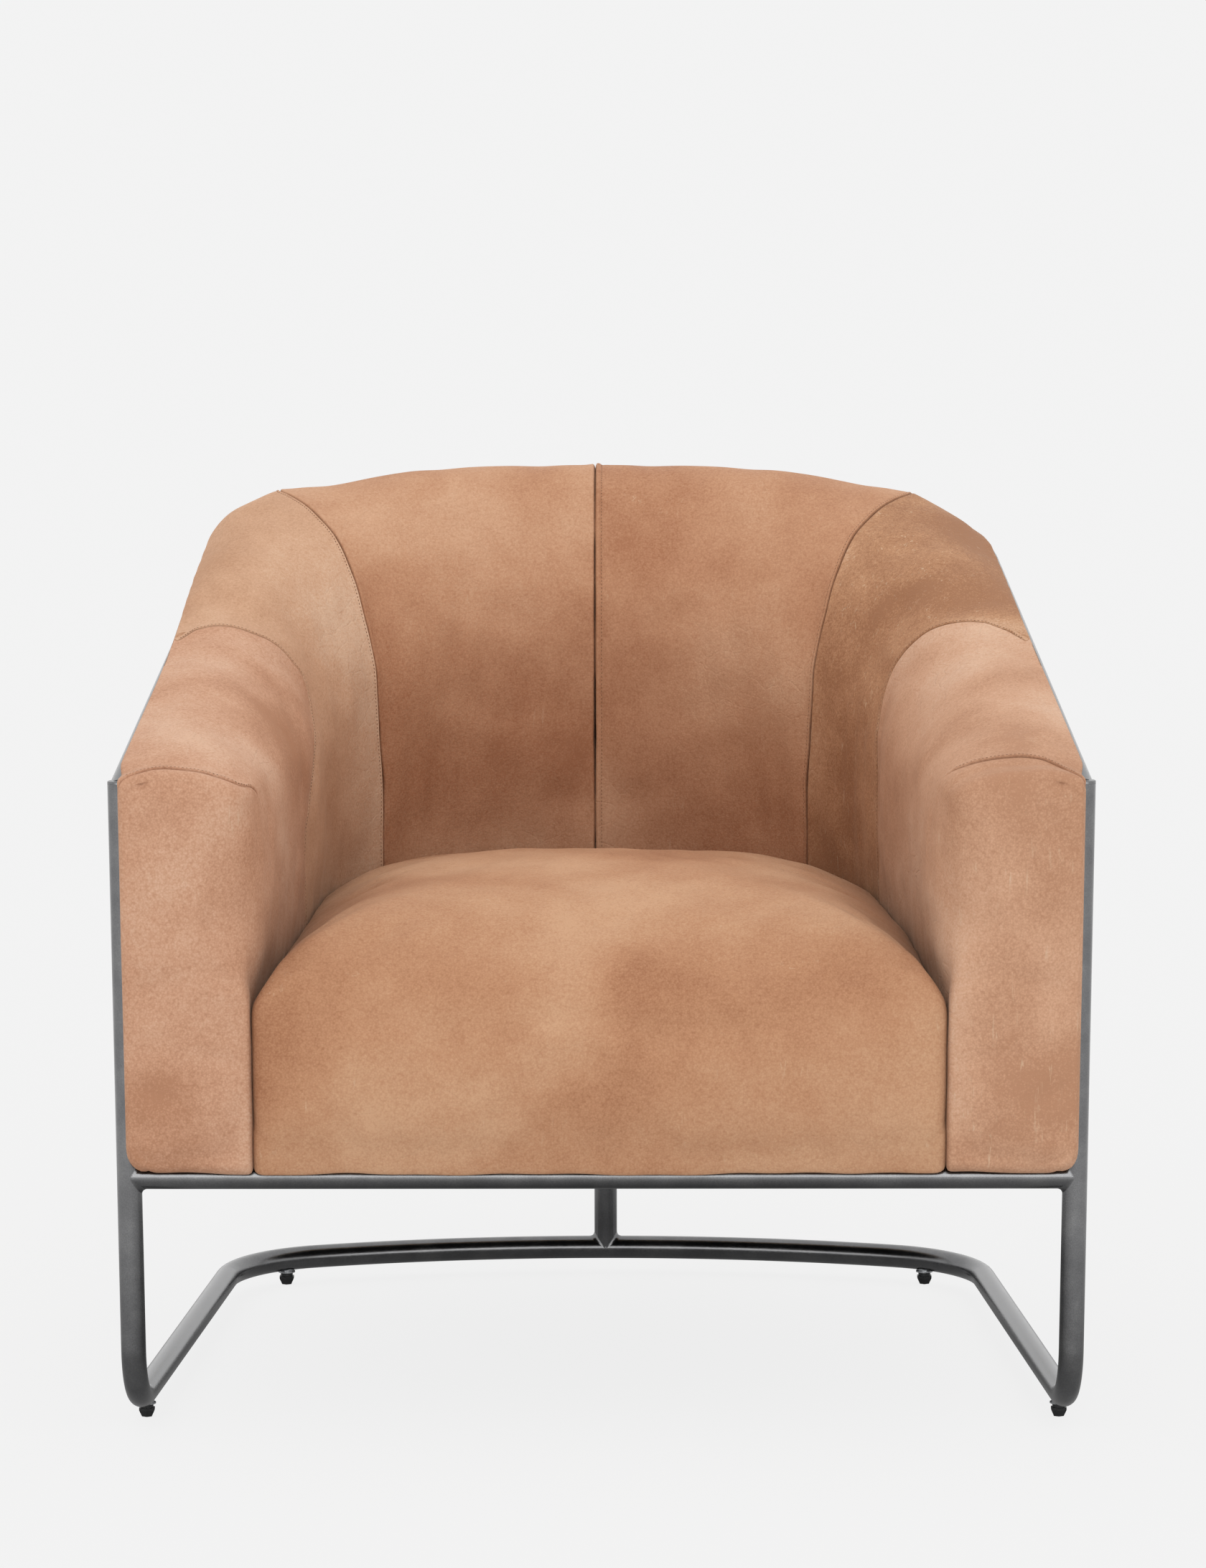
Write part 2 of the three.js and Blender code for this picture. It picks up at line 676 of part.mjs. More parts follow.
sides.forEach(([name, side]) => {
  const panel = cut(armBoard, frontEdge(woodBehindPost), jointGap, ...shownHoles(side));
  add(name + "_arm_panel", onSide(side, panel), birchPly);

  const ends = (plan) => [-cutOver, plan.run].map((length) => plan.at(length).point);
  const [outNear, outFar] = ends(sideWoodOut);
  const [inNear, inFar] = ends(sideWoodIn);
  const rail = wall([outNear, outFar, inFar, inNear], woodBottom, () => woodTop);
  add(name + "_side_rail", onSide(side, cut(rail, frontEdge(frontWoodBack + weldGap))), beech);
});

add("back_panel", cut(backBoard, jointGap, mirrorSolid(jointGap), ...screwHoles), birchPly);

// Half the width between the two sides of a plan, at a Y ahead of its corners.
const halfWidth = (plan, y) => plan.frontHalf - y * Math.tan(plan.taper);

const frontWoodHalf = halfWidth(sideWoodOut, 0);
const frontWoodLow = [-frontWoodHalf, woodBehindPost, woodBottom];
const frontWood = block(frontWoodLow, [frontWoodHalf, frontWoodBack, woodTop]);
const armPanelRoom = board(
  hoopPlan,
  [-cutOver, hoopPlan.run],
  plyInset - weldGap,
  plyInside + weldGap,
  woodBottom - cutOver,
  () => deckTop,
  false,
);
add("front_seat_rail", cut(frontWood, armPanelRoom, mirrorSolid(armPanelRoom), ...screwHoles), beech);

const rearWoodHalf = halfWidth(sideWoodIn, rearWoodBack) - railWoodThickness;
const rearWood = block([-rearWoodHalf, rearWoodFront, woodBottom], [rearWoodHalf, rearWoodBack, woodTop]);
const rearWoodInside = rearWood.intersect(interior(sideWoodOut, 0, 0, deckTop));
add("rear_seat_rail", cut(rearWoodInside, ...screwHoles), beech);

// Webbing under the seat, and the dust cover below it

const strapLow = woodTop + weldGap;
for (let i = 0; i < strapCount; i++) {
  const x = (i - (strapCount - 1) / 2) * strapPitch;
  const low = [x - strapWidth / 2, woodBehindPost, strapLow];
  const high = [x + strapWidth / 2, rearWoodBack, strapLow + strapThickness];
  const trimmed = block(low, high).intersect(interior(sideWoodOut, 0, woodBottom, deckTop));
  add("seat_strap_" + (i + 1), trimmed, webbing);
}
const crossLow = strapLow + strapThickness + weldGap;
for (let i = 0; i < crossStrapCount; i++) {
  const y = sideRun / 2 + (i - (crossStrapCount - 1) / 2) * crossStrapPitch;
  const reach = halfWidth(sideWoodOut, y + strapWidth / 2);
  const low = [-reach, y - strapWidth / 2, crossLow];
  const high = [reach, y + strapWidth / 2, crossLow + strapThickness];
  add("cross_strap_" + (i + 1), block(low, high), webbing);
}

const dustTop = woodBottom - weldGap;
const dustFront = tubeRadius + brackets.railReach + dustMargin;
const dustBottom = dustTop - dustThickness;
add("dust_cover", interior(hoopPlan.inset(plyInset + dustMargin), dustFront, dustBottom, dustTop), cambric);

// Barrel: padded pieces that meet at the seams

const cornerSeam = innerPlan.run + innerPlan.corner * (cornerSeamAngle - innerPlan.taper);
// A value that runs from the arm front to the corner seam and on to the middle of the back.
const blendBetween = (values, length) => {
  const share = Math.max(length / cornerSeam, 0);
  if (share <= 1) return values.front + (values.corner - values.front) * share ** blendPower;
  return values.corner + (values.back - values.corner) * smoothstep(length, cornerSeam, innerPlan.length);
};

// The barrel's section from its inner foot: distances outward from the inner face, and heights.
function section(width, top, bottom, roll, crownShare, lip) {
  const points = [];
  const crown = width * crownShare;
  for (let i = 0; i < sideCount; i++) {
    points.push([0, bottom + ((top - roll - bottom) * i) / sideCount]);
  }
  for (let i = 0; i <= rollCount; i++) {
    const angle = (Math.PI / 2) * (i / rollCount);
    points.push([crown * (1 - Math.cos(angle)), top - roll * (1 - Math.sin(angle))]);
  }
  for (let i = 1; i <= lipCount; i++) {
    const angle = (Math.PI / 2) * (i / lipCount);
    points.push([crown + (width - crown) * Math.sin(angle), lip + (top - lip) * Math.cos(angle)]);
  }
  for (let i = 0; i <= bottomCount; i++) {
    const angle = (Math.PI / 2) * (i / bottomCount);
    const turn = [1 - Math.cos(angle), 1 - Math.sin(angle)].map((share) => share * bottomRounding);
    points.push([width - turn[0], bottom + turn[1]]);
  }
  return points;
}

function barrelRing(length) {
  const { point, normal } = innerPlan.at(length);
  const width = lipPlan.reach(point, normal);
  const crownShare = blendBetween(crownShares, length);
  const top = topAt(point.y + normal.y * width * crownShare);
  const roll = blendBetween(rollDepths, length);
  const lip = lipAt(point.y + normal.y * width);
  return section(width, top, shellBottom, roll, crownShare, lip).map(
    ([out, z]) => new THREE.Vector3(point.x + normal.x * out, point.y + normal.y * out, z),
  );
}

// What the barrel leaves free: the room outside its shell up to the hoop, and the hoop and posts themselves.
const shellRoom = board(
  hoopPlan,
  [-cutOver, ...backLengths],
  -cutOver,
  shellInset,
  -cutOver,
  (y) => hoopAt(y) + tubeRadius / 2,
  true,
);
const hoopSide = hoopPlan.at(hoopPlan.run).point;
const hoopFront = hoopPlan.at(-cutOver).point;
const hoopLine = straight(
  new THREE.Vector3(hoopFront.x, hoopFront.y, hoopAt(hoopFront.y)),
  new THREE.Vector3(hoopSide.x, hoopSide.y, hoopAt(hoopSide.y)),
);
const hoopRoom = rod([hoopLine[0], ...hoopLoop], tubeRadius + seatGap);
const frameRoom = interior(hoopPlan.inset(plyInset - 2 * weldGap), -cutOver, -cutOver, deckTop);
const frontRoom = frontEdge(woodBehindPost + padGap);
const padRooms = [shellRoom, hoopRoom, postRooms[1], frameRoom, panelRoom, frontRoom];

const padPieces = [
  ["arm_pad", -cutOver / 2, midSeamRun, padSteps],
  ["wing_pad", midSeamRun, cornerSeam, padSteps],
  ["back_pad", cornerSeam, innerPlan.length, padSteps - 1],
];
sides.forEach(([name, side]) => {
  padPieces.forEach(([piece, from, to, steps]) => {
    const rings = [];
    const low = from + seamGap / 2;
    const high = to - seamGap / 2;
    for (let i = 0; i <= steps; i++) rings.push(barrelRing(low + ((high - low) * i) / steps));
    const pad = cut(loft(rings), ...padRooms, ...shownHoles(side));
    add(name + "_" + piece, onSide(side, pad), nubuck);
  });
});

// Arm fronts: upright pads that cover the inner half of each post

// Their rings, from the post to the front face: how far in and how far forward each one lies.
const frontRingShares = [
  [0, 0],
  [0, 0.4],
  [0.12, 0.66],
  [0.35, 0.84],
  [0.65, 0.95],
  [1, 1],
];
const frontBack = woodBehindPost - padGap / 2;
const frontWidth = postSpanTop / 2 + armFrontSplay - innerFront;
const frontMiddle = new THREE.Vector2(innerFront + frontWidth / 2, (armHeight + skirtBottom) / 2);
const frontSection = [armHeight, skirtBottom, rollDepths.front, crownShares.front, lipAt(0)];
const frontOutline = section(frontWidth, ...frontSection)
  .map(([out, z]) => {
    const width = spread(1, z) + armFrontSplay - innerFront;
    return new THREE.Vector2(innerFront + (out * width) / frontWidth, z);
  })
  .reverse();
const frontRows = frontRingShares.length + 2;

const armFront = pillow(frontOutline.length, frontRows, (column, row) => {
  const pole = row === 0 || row === frontRows - 1;
  const [inset, forward] = frontRingShares[Math.min(Math.max(row - 1, 0), frontRingShares.length - 1)];
  const from = frontOutline[column].clone().sub(frontMiddle);
  const reach = pole ? 0 : 1 - (inset * armFrontRounding) / from.length();
  const flat = frontMiddle.clone().addScaledVector(from, reach);
  return new THREE.Vector3(flat.x, frontBack - forward * (armFrontDepth + frontBack), flat.y);
});
const clearArmFront = cut(armFront, postRooms[1], railRod);
sides.forEach(([name, side]) => add(name + "_arm_front", onSide(side, clearArmFront), nubuck));

// Seat: a crowned pad on the webbing, with a skirt that falls in front of the rail

const seatPlan = innerPlan.inset(padGap);
const seatMiddle = new THREE.Vector2(0, innerDepth / 2 - seatFrontDepth);

// Its rings from below: how wide each one is, and how far it lies between foot, edge and crown.
const skirtShares = [
  [0, 0],
  [0.95, 0],
  [0.995, 0.06],
  [1, 0.5],
  [1, 1],
];
const domeShares = [0.985, 0.955, 0.91, 0.84, 0.74, 0.58, 0.38, 0.18, 0];
const domeRings = domeShares.map((share) => [share, 1 + Math.sqrt(1 - share ** domePower)]);
const seatRings = [...skirtShares, ...domeRings];

function seatOutline() {
  const half = [];
  const frontY = -seatFrontDepth;
  const start = seatCornerRounding - seatFrontDepth;
  const x = seatPlan.at(start).point.x - seatCornerRounding;
  for (let i = 0; i <= frontCount; i++) half.push(new THREE.Vector2((x * i) / frontCount, frontY));
  for (let i = 1; i <= cornerCount; i++) {
    const angle = (Math.PI / 2) * (i / cornerCount);
    const turn = new THREE.Vector2(Math.sin(angle), 1 - Math.cos(angle)).multiplyScalar(seatCornerRounding);
    half.push(new THREE.Vector2(x, frontY).add(turn));
  }
  for (let i = 1; i <= alongCount; i++) {
    half.push(seatPlan.at(start + ((seatPlan.run - start) * i) / alongCount).point);
  }
  const rest = seatPlan.roundLengths(cornerSteps, rearSteps).slice(1);
  half.push(...rest.map((length) => seatPlan.at(length).point));
  return [...half, ...half.slice(1).reverse().map(mirrored)];
}

const seatEdges = seatOutline();
const seatLength = innerDepth + seatFrontDepth;
const seatPad = pillow(seatEdges.length, seatRings.length, (column, row) => {
  const [reach, level] = seatRings[row];
  const flat = seatMiddle.clone().lerp(seatEdges[column], reach);
  const back = Math.min(Math.max((flat.y + seatFrontDepth) / seatLength, 0), 1);
  const edge = seatEdgeFront + (seatEdgeRear - seatEdgeFront) * back ** seatEdgePower;
  if (level <= 1) {
    const front = Math.max(0, 1 - (flat.y + seatFrontDepth) / armFrontDepth);
    const belly = seatBelly * front * Math.sin(Math.PI * level);
    return new THREE.Vector3(flat.x, flat.y - belly, skirtBottom + (edge - skirtBottom) * level);
  }
  const behind = Math.max(flat.y - seatCrownPlace, 0) / (innerDepth - seatCrownPlace);
  const crown = seatCrown - seatFall * behind ** fallPower;
  return new THREE.Vector3(flat.x, flat.y, edge + (crown - edge) * (level - 1));
});
const seatRoom = interior(hoopPlan.inset(plyInset), woodBehindPost - padGap, -cutOver, deckTop);
add("seat_pad", cut(seatPad, seatRoom, railRod), nubuck);

// The origin lies on the floor under the middle of the chair.
const bounds = new THREE.Box3().setFromObject(chair);
const centre = bounds.getCenter(new THREE.Vector3());
chair.position.set(-centre.x, -centre.y, -bounds.min.z);
chair.updateMatrixWorld(true);

export default chair;
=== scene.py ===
import math

import bmesh
import bpy
import numpy as np
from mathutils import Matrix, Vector
from mathutils.bvhtree import BVHTree


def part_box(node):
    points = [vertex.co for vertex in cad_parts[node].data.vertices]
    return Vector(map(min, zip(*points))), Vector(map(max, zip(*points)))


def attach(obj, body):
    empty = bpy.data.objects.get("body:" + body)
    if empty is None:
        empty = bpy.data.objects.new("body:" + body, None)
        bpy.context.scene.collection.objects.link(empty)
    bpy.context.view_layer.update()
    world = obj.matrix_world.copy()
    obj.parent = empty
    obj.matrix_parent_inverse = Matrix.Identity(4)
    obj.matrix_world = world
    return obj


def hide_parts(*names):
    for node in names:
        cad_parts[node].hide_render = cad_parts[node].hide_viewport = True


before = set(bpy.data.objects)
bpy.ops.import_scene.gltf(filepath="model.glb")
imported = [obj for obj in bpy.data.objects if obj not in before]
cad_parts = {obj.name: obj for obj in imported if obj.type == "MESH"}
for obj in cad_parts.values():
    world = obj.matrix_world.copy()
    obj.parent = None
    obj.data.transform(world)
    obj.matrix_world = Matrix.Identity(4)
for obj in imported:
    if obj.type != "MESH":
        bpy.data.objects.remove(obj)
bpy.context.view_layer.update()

# A tub lounge chair: nubuck over foam, in a frame of bent round steel tube. The plan is worked out in
# millimetres, with Y counted back from the line of the front posts, and turned to metres at the end.

# Steel tube, and the plan and heights of its centre lines
TUBE = 10.0
TUBE_SIDES = 40
POST_SPAN = 764.0
FLOOR_SPAN = 750.0
REAR_SPAN = 659.0
SIDE_RUN = 514.0
FRAME_DEPTH = 650.0
FRAME_CORNER = 110.0
FRAME_REAR_RADIUS = 800.0
BASE_LEVEL = 22.0
FLOOR_BEND = 46.0
RAIL_LEVEL = 209.0
POST_TOP = 528.0
CAP_THICKNESS = 2.0
HOOP_FRONT_LEVEL = 519.0
HOOP_SLOPE = 0.25

# Barrel
INNER_FRONT = 280.0
INNER_NARROWING = 43.0
INNER_RUN = 320.0
INNER_CORNER = 200.0
INNER_REAR_RADIUS = 900.0
INNER_DEPTH = 520.0
ARM_HEIGHT = 539.0
ARM_SLOPE = 0.228
BACK_RISE = 44.0
RISE_START, RISE_END = 250.0, 650.0
LIP_REACH = 5.0
LIP_LIFT, LIP_LIFT_FRONT, LIP_BLEND = 2.0, 0.8, 60.0
ROLL_DEPTHS = (26.0, 178.0, 168.0)
CROWN_SHARES = (0.6, 0.84, 0.72)
BLEND_POWER = 1.4
SHELL_BOTTOM = 221.0
SHELL_INSET = 15.1
TUBE_ROOM = 10.7
FOOT_ROUNDING = 16.0
ROLL_STEPS, TUCK_STEPS, FOOT_STEPS = 48, 12, 8
CORNER_SEAM_ANGLE = math.pi / 4
SEAM_GAP = 0.5

# Arm front: how far it stands ahead of the posts, and its roundings as inset and depth
FRONT_FACE = -22.0
FRONT_SPLAY = 1.5
FRONT_LIP = 529.5
SKIRT_BOTTOM = 214.0
POST_ROOM = 11.0
INNER_ROUND, INNER_ROUND_LOW, OUTER_ROUND = (24.0, 24.0), (5.0, 6.0), (5.0, 8.0)
TOP_ROUND, BOTTOM_ROUND = (9.0, 10.0), (9.0, 9.0)
# Its inner side comes free of the seat between these heights below and above the seat's edge
FREE_BELOW, FREE_ABOVE = 5, 100

# Seat
PAD_GAP = 0.8
SEAT_CROWN = 428.0
SEAT_CROWN_PLACE = 230.0
SEAT_FALL = 30.0
FALL_POWER = 1.5
DOME_POWER = 2.4
SEAT_EDGE_FRONT, SEAT_EDGE_REAR, SEAT_EDGE_POWER = 338.0, 392.0, 0.8
SEAT_FRONT = 20.0
SEAT_BELLY = 4.0
SEAT_CORNER = 8.0
SEAT_SWELL = 5.0
SEAT_RIPPLES = ((150, 11, 1.0), (55, 12, 0.5))
RIPPLED_HEIGHTS = (240, 330)
# Its rings: foot rings as inset and lift, where None stands for the height of the shell's bottom, then side
# rings, then dome rings as shares of the rim's reach
SEAT_FOOT_GAP = 0.5
SEAT_FOOT_RINGS = ((9.6, None), (9.2, 0.3), (4, 0), (1.2, 0.3), (0.2, 1.8))
SEAT_SIDE_RINGS = 20
DOME_RING_SHARES = (0.9985, 0.994, 0.986, 0.974, 0.958, 0.938, 0.914)
# The rings over which the leather comes free, in front and elsewhere
FRONT_FREE_RINGS, OTHER_FREE_RINGS = (5, 9), (23, 27)

# Columns of the leather's section, round from the inner foot
FACE, FALL, TUCK, BACK, FOOT, BASE = 60, 14, 5, 38, 3, 14
COLUMNS = FACE + FALL + TUCK + BACK + FOOT + BASE
CAP_SIDE = 52
CAP_TOP = COLUMNS // 2 - CAP_SIDE

# Seams, as lengths along the barrel at some of the columns. The two sides weren't sewn quite alike.
CORNER_SEAM = (
    (0, 472), (18, 472), (26, 474), (35, 467), (42, 468), (50, 478), (60, 486), (68, 495), (80, 479),
    (117, 479), (133, 472),
)
MID_SEAMS = {
    -1: ((0, 250), (25, 252), (33, 262), (37, 284), (41, 318), (44, 338), (47, 344), (51, 333), (55, 320),
         (60, 312), (66, 304), (72, 282), (80, 322), (117, 322), (133, 250)),
    1: ((0, 330), (34, 340), (40, 346), (43, 353), (47, 354), (50, 350), (53, 343), (56, 332), (59, 320),
        (67, 300), (72, 280), (80, 322), (117, 322), (133, 330)),
}
# The seam over the arm front, as depths behind the posts. It ends as a dart on the inner side of the roll.
ARCHES = {
    -1: ((0, 34), (44, 32), (47, 26), (49, 12), (51, -3), (54, -8), (58, -3), (61, 0), (66, -8),
         (70, -15), (73, -18), (119, -18), (133, 34)),
    1: ((0, 40), (46, 38), (49, 33), (52, 25), (55, 23), (59, 24), (63, 20), (68, 7), (71, -8),
        (74, -16), (119, -16), (133, 40)),
}
# The column where each side's dart runs out
DARTS = {-1: 47, 1: 49}

# How the upholstery sits in this chair: its back leans to the left, more and more between two depths
LEAN = 8.0
LEAN_DEPTHS = (190, 490)
# Its front is shifted and fuller. Both fade out backward, and outward towards the posts.
FRONT_SHIFT, FRONT_FULLNESS = -1.9, 3.6
FRONT_FADE, POST_FADE, FULLNESS_RISE = (20, 200), (290, 370), (120, 270)
# Where the rear corners sag, as drop, place and width, and the depths between which that begins
CORNER_DROPS = ((6.5, 262.0, 66.0), (7.5, 334.0, 38.0), (5.6, -238.0, 56.0))
DROP_DEPTHS = (430, 560)
# The waves of the front's lower edge: height, size and seed, and how far up and back they go
HEM_WAVE, HEM_WAVE_SIZE, HEM_SEED, HEM_HEIGHT, HEM_DEPTH = 1.5, 70, 9, 30, 14

post_low, post_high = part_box("left_post_cap")
POST_LINE = (post_low.y + post_high.y) / 2


def smoothstep(value, low, high):
    share = np.clip((np.asarray(value, float) - low) / (high - low), 0, 1)
    return share * share * (3 - 2 * share)


def in_metres(points):
    return np.asarray(points, float) / 1000 + np.array([0, POST_LINE, 0])


class Plan:
    """Half of a U-shaped plan: a side that tapers inward, a corner arc and a shallow rear arc."""

    def __init__(self, front_half, taper, corner, rear_radius, depth):
        self.front_half, self.taper = front_half, taper
        self.corner, self.rear_radius, self.depth = corner, rear_radius, depth
        c, s = math.cos(taper), math.sin(taper)
        self.rear_y = depth - rear_radius
        x = front_half - corner * c
        y = -corner * s - self.rear_y
        half = y * c - x * s
        gap = rear_radius - corner
        self.run = -half + math.sqrt(half * half - x * x - y * y + gap * gap)
        self.corner_x = x - self.run * s
        self.corner_y = y + self.run * c + self.rear_y
        self.rear_angle = math.pi / 2 - math.atan2(self.corner_x, self.corner_y - self.rear_y)
        self.corner_length = corner * (self.rear_angle - taper)
        self.length = self.run + self.corner_length + rear_radius * (math.pi / 2 - self.rear_angle)

    def inset(self, distance):
        front = self.front_half - distance / math.cos(self.taper)
        sizes = (self.corner - distance, self.rear_radius - distance, self.depth - distance)
        return Plan(front, self.taper, *sizes)

    def round(self, angle):
        normal = np.array([math.cos(angle), math.sin(angle)])
        if angle <= self.rear_angle:
            return np.array([self.corner_x, self.corner_y]) + normal * self.corner, normal
        return np.array([0, self.rear_y]) + normal * self.rear_radius, normal

    def at(self, length):
        """The place at a length counted from the front, and the outward normal there."""
        if length <= self.run:
            normal = np.array([math.cos(self.taper), math.sin(self.taper)])
            return np.array([self.front_half - length * normal[1], length * normal[0]]), normal
        past = length - self.run
        if past <= self.corner_length:
            return self.round(self.taper + past / self.corner)
        return self.round(self.rear_angle + (past - self.corner_length) / self.rear_radius)

    def reach(self, start, ray):
        """How far a ray from inside runs before it meets the plan."""
        side = np.array([math.cos(self.taper), math.sin(self.taper)])
        to_side = (self.front_half * side[0] - start @ side) / (ray @ side)
        if start[1] + to_side * ray[1] <= self.run * side[0]:
            return to_side
        to_corner = self.to_arc(start, ray, self.corner_x, self.corner_y, self.corner)
        met = start + ray * to_corner
        if math.atan2(met[1] - self.corner_y, met[0] - self.corner_x) <= self.rear_angle:
            return to_corner
        return self.to_arc(start, ray, 0, self.rear_y, self.rear_radius)

    @staticmethod
    def to_arc(start, ray, x, y, radius):
        offset = start - np.array([x, y])
        along = offset @ ray
        return -along + math.sqrt(max(along * along - offset @ offset + radius * radius, 0))


base_taper = math.atan((FLOOR_SPAN - REAR_SPAN) / 2 / SIDE_RUN)
hoop_taper = math.atan((POST_SPAN - REAR_SPAN) / 2 / SIDE_RUN)
inner_taper = math.atan(INNER_NARROWING / INNER_RUN)
base_plan = Plan(FLOOR_SPAN / 2, base_taper, FRAME_CORNER, FRAME_REAR_RADIUS, FRAME_DEPTH)
hoop_plan = Plan(POST_SPAN / 2, hoop_taper, FRAME_CORNER, FRAME_REAR_RADIUS, FRAME_DEPTH)
lip_plan = hoop_plan.inset(-LIP_REACH)
inner_plan = Plan(INNER_FRONT, inner_taper, INNER_CORNER, INNER_REAR_RADIUS, INNER_DEPTH)
corner_seam = inner_plan.run + inner_plan.corner * (CORNER_SEAM_ANGLE - inner_plan.taper)


def hoop_level(y):
    return HOOP_FRONT_LEVEL + HOOP_SLOPE * y


def crown_level(y):
    return ARM_HEIGHT + ARM_SLOPE * max(y, 0) + BACK_RISE * float(smoothstep(y, RISE_START, RISE_END))


def lip_level(y):
    lift = LIP_LIFT_FRONT + (LIP_LIFT - LIP_LIFT_FRONT) * float(smoothstep(y, 0, LIP_BLEND))
    return hoop_level(max(y, 0)) + TUBE + lift


def along_barrel(values, length):
    """A value that runs from the arm front to the corner seam and on to the middle of the back."""
    front, corner, back = values
    share = max(length / corner_seam, 0)
    if share <= 1:
        return front + (corner - front) * share**BLEND_POWER
    return corner + (back - corner) * float(smoothstep(length, corner_seam, inner_plan.length))


def post_half(z):
    """Half the span of the posts' centre lines at a height."""
    return (FLOOR_SPAN + (POST_SPAN - FLOOR_SPAN) * (z - BASE_LEVEL) / (POST_TOP - BASE_LEVEL)) / 2


# Meshes


def cut_evenly(line, steps):
    """The line as points at equal steps along it, its end included."""
    line = np.asarray(line, float)
    along = np.concatenate([[0], np.cumsum(np.linalg.norm(np.diff(line, axis=0), axis=1))])
    places = np.linspace(0, along[-1], steps + 1)
    return np.stack([np.interp(places, along, line[:, i]) for i in range(line.shape[1])], 1)


def piece_from(name, points, faces, smooth_angle=60):
    """A mesh object in metres, its faces turned outward."""
    mesh = bpy.data.meshes.new(name)
    mesh.from_pydata([tuple(p) for p in points], [], [tuple(int(i) for i in f) for f in faces])
    shape = bmesh.new()
    shape.from_mesh(mesh)
    bmesh.ops.recalc_face_normals(shape, faces=shape.faces)
    shape.to_mesh(mesh)
    shape.free()
    piece = bpy.data.objects.new(name, mesh)
    bpy.context.scene.collection.objects.link(piece)
    mesh.shade_smooth()
    mesh.set_sharp_from_angle(angle=math.radians(smooth_angle))
    return piece


# A direction that no rod of this chair runs along
OFF_AXIS = (0.31, 0.17, 0.93)


def swept(points, radius, sides=TUBE_SIDES):
    """A round rod with flat ends along a line of points, as vertices and faces."""
    points = np.asarray(points, float)
    count = len(points)
    tangents = np.gradient(points, axis=0)
    tangents /= np.linalg.norm(tangents, axis=1, keepdims=True)
    across = np.cross(tangents[0], OFF_AXIS)
    radii = np.broadcast_to(radius, (count,))
    angles = np.linspace(0, 2 * math.pi, sides, endpoint=False)
    rings = []
    for place, tangent, size in zip(points, tangents, radii):
        across = across - (across @ tangent) * tangent
        across /= np.linalg.norm(across)
        up = np.cross(tangent, across)
        rings.append(place + size * (np.cos(angles)[:, None] * across + np.sin(angles)[:, None] * up))
    faces = []
    for row in range(count - 1):
        low, high = row * sides, (row + 1) * sides
        for i in range(sides):
            j = (i + 1) % sides
            faces.append((low + i, low + j, high + j, high + i))
    faces.append(tuple(reversed(range(sides))))
    faces.append(tuple((count - 1) * sides + i for i in range(sides)))
    return np.concatenate(rings), faces


def joined(parts):
    """Several sets of vertices and faces as one."""
    points, faces, start = [], [], 0
    for part_points, part_faces in parts:
        points.append(part_points)
        faces += [tuple(i + start for i in face) for face in part_faces]
        start += len(part_points)
    return np.concatenate(points), faces


# Camera

# The photograph's height and the focal length, both in pixels
PHOTO_HEIGHT, FOCAL_LENGTH = 2185, 10278
SENSOR = 36
CAMERA_PLACE = (0.0287, -6.1156, 1.3081)
CAMERA_TURN = (math.radians(82.31), 0.0015, 0.00453)
camera = bpy.data.cameras.new("camera")
camera.sensor_fit = "AUTO"
camera.sensor_width = SENSOR
camera.lens = FOCAL_LENGTH / PHOTO_HEIGHT * SENSOR
camera.clip_end = 200
view = bpy.data.objects.new("camera", camera)
view.location = CAMERA_PLACE
view.rotation_euler = CAMERA_TURN
bpy.context.scene.collection.objects.link(view)
bpy.context.scene.camera = view


# Materials


def linear(code):
    """An sRGB hex colour as linear red, green, blue and alpha."""
    shares = [int(code[i : i + 2], 16) / 255 for i in (1, 3, 5)]
    return tuple(c / 12.92 if c <= 0.04045 else ((c + 0.055) / 1.055) ** 2.4 for c in shares) + (1.0,)


def per(size):
    """The texture scale that gives features of a size in millimetres."""
    return 1000 / size


def node(tree, kind, plugs=None, stops=None, **settings):
    """Adds one node: its settings, its sockets' values or links, and the stops of a ramp."""
    made = tree.nodes.new("ShaderNode" + kind)
    for name, value in settings.items():
        setattr(made, name, value)
    for name, value in (plugs or {}).items():
        if isinstance(value, bpy.types.NodeSocket):
            tree.links.new(value, made.inputs[name])
        else:
            made.inputs[name].default_value = value
    if stops:
        ramp = made.color_ramp.elements
        while len(ramp) < len(stops):
            ramp.new(0.5)
        for element, (place, colour) in zip(ramp, stops):
            element.position = place
            element.color = linear(colour) if isinstance(colour, str) else (colour, colour, colour, 1)
    return made


def new_finish(name, **sockets):
    """A material with one Principled shader, its uniform values set on the shader itself."""
    material = bpy.data.materials.new(name)
    material.use_nodes = True
    tree = material.node_tree
    tree.nodes.clear()
    shader = node(tree, "BsdfPrincipled", {key.replace("_", " "): value for key, value in sockets.items()})
    node(tree, "OutputMaterial", {"Surface": shader.outputs[0]})
    return material, tree, shader


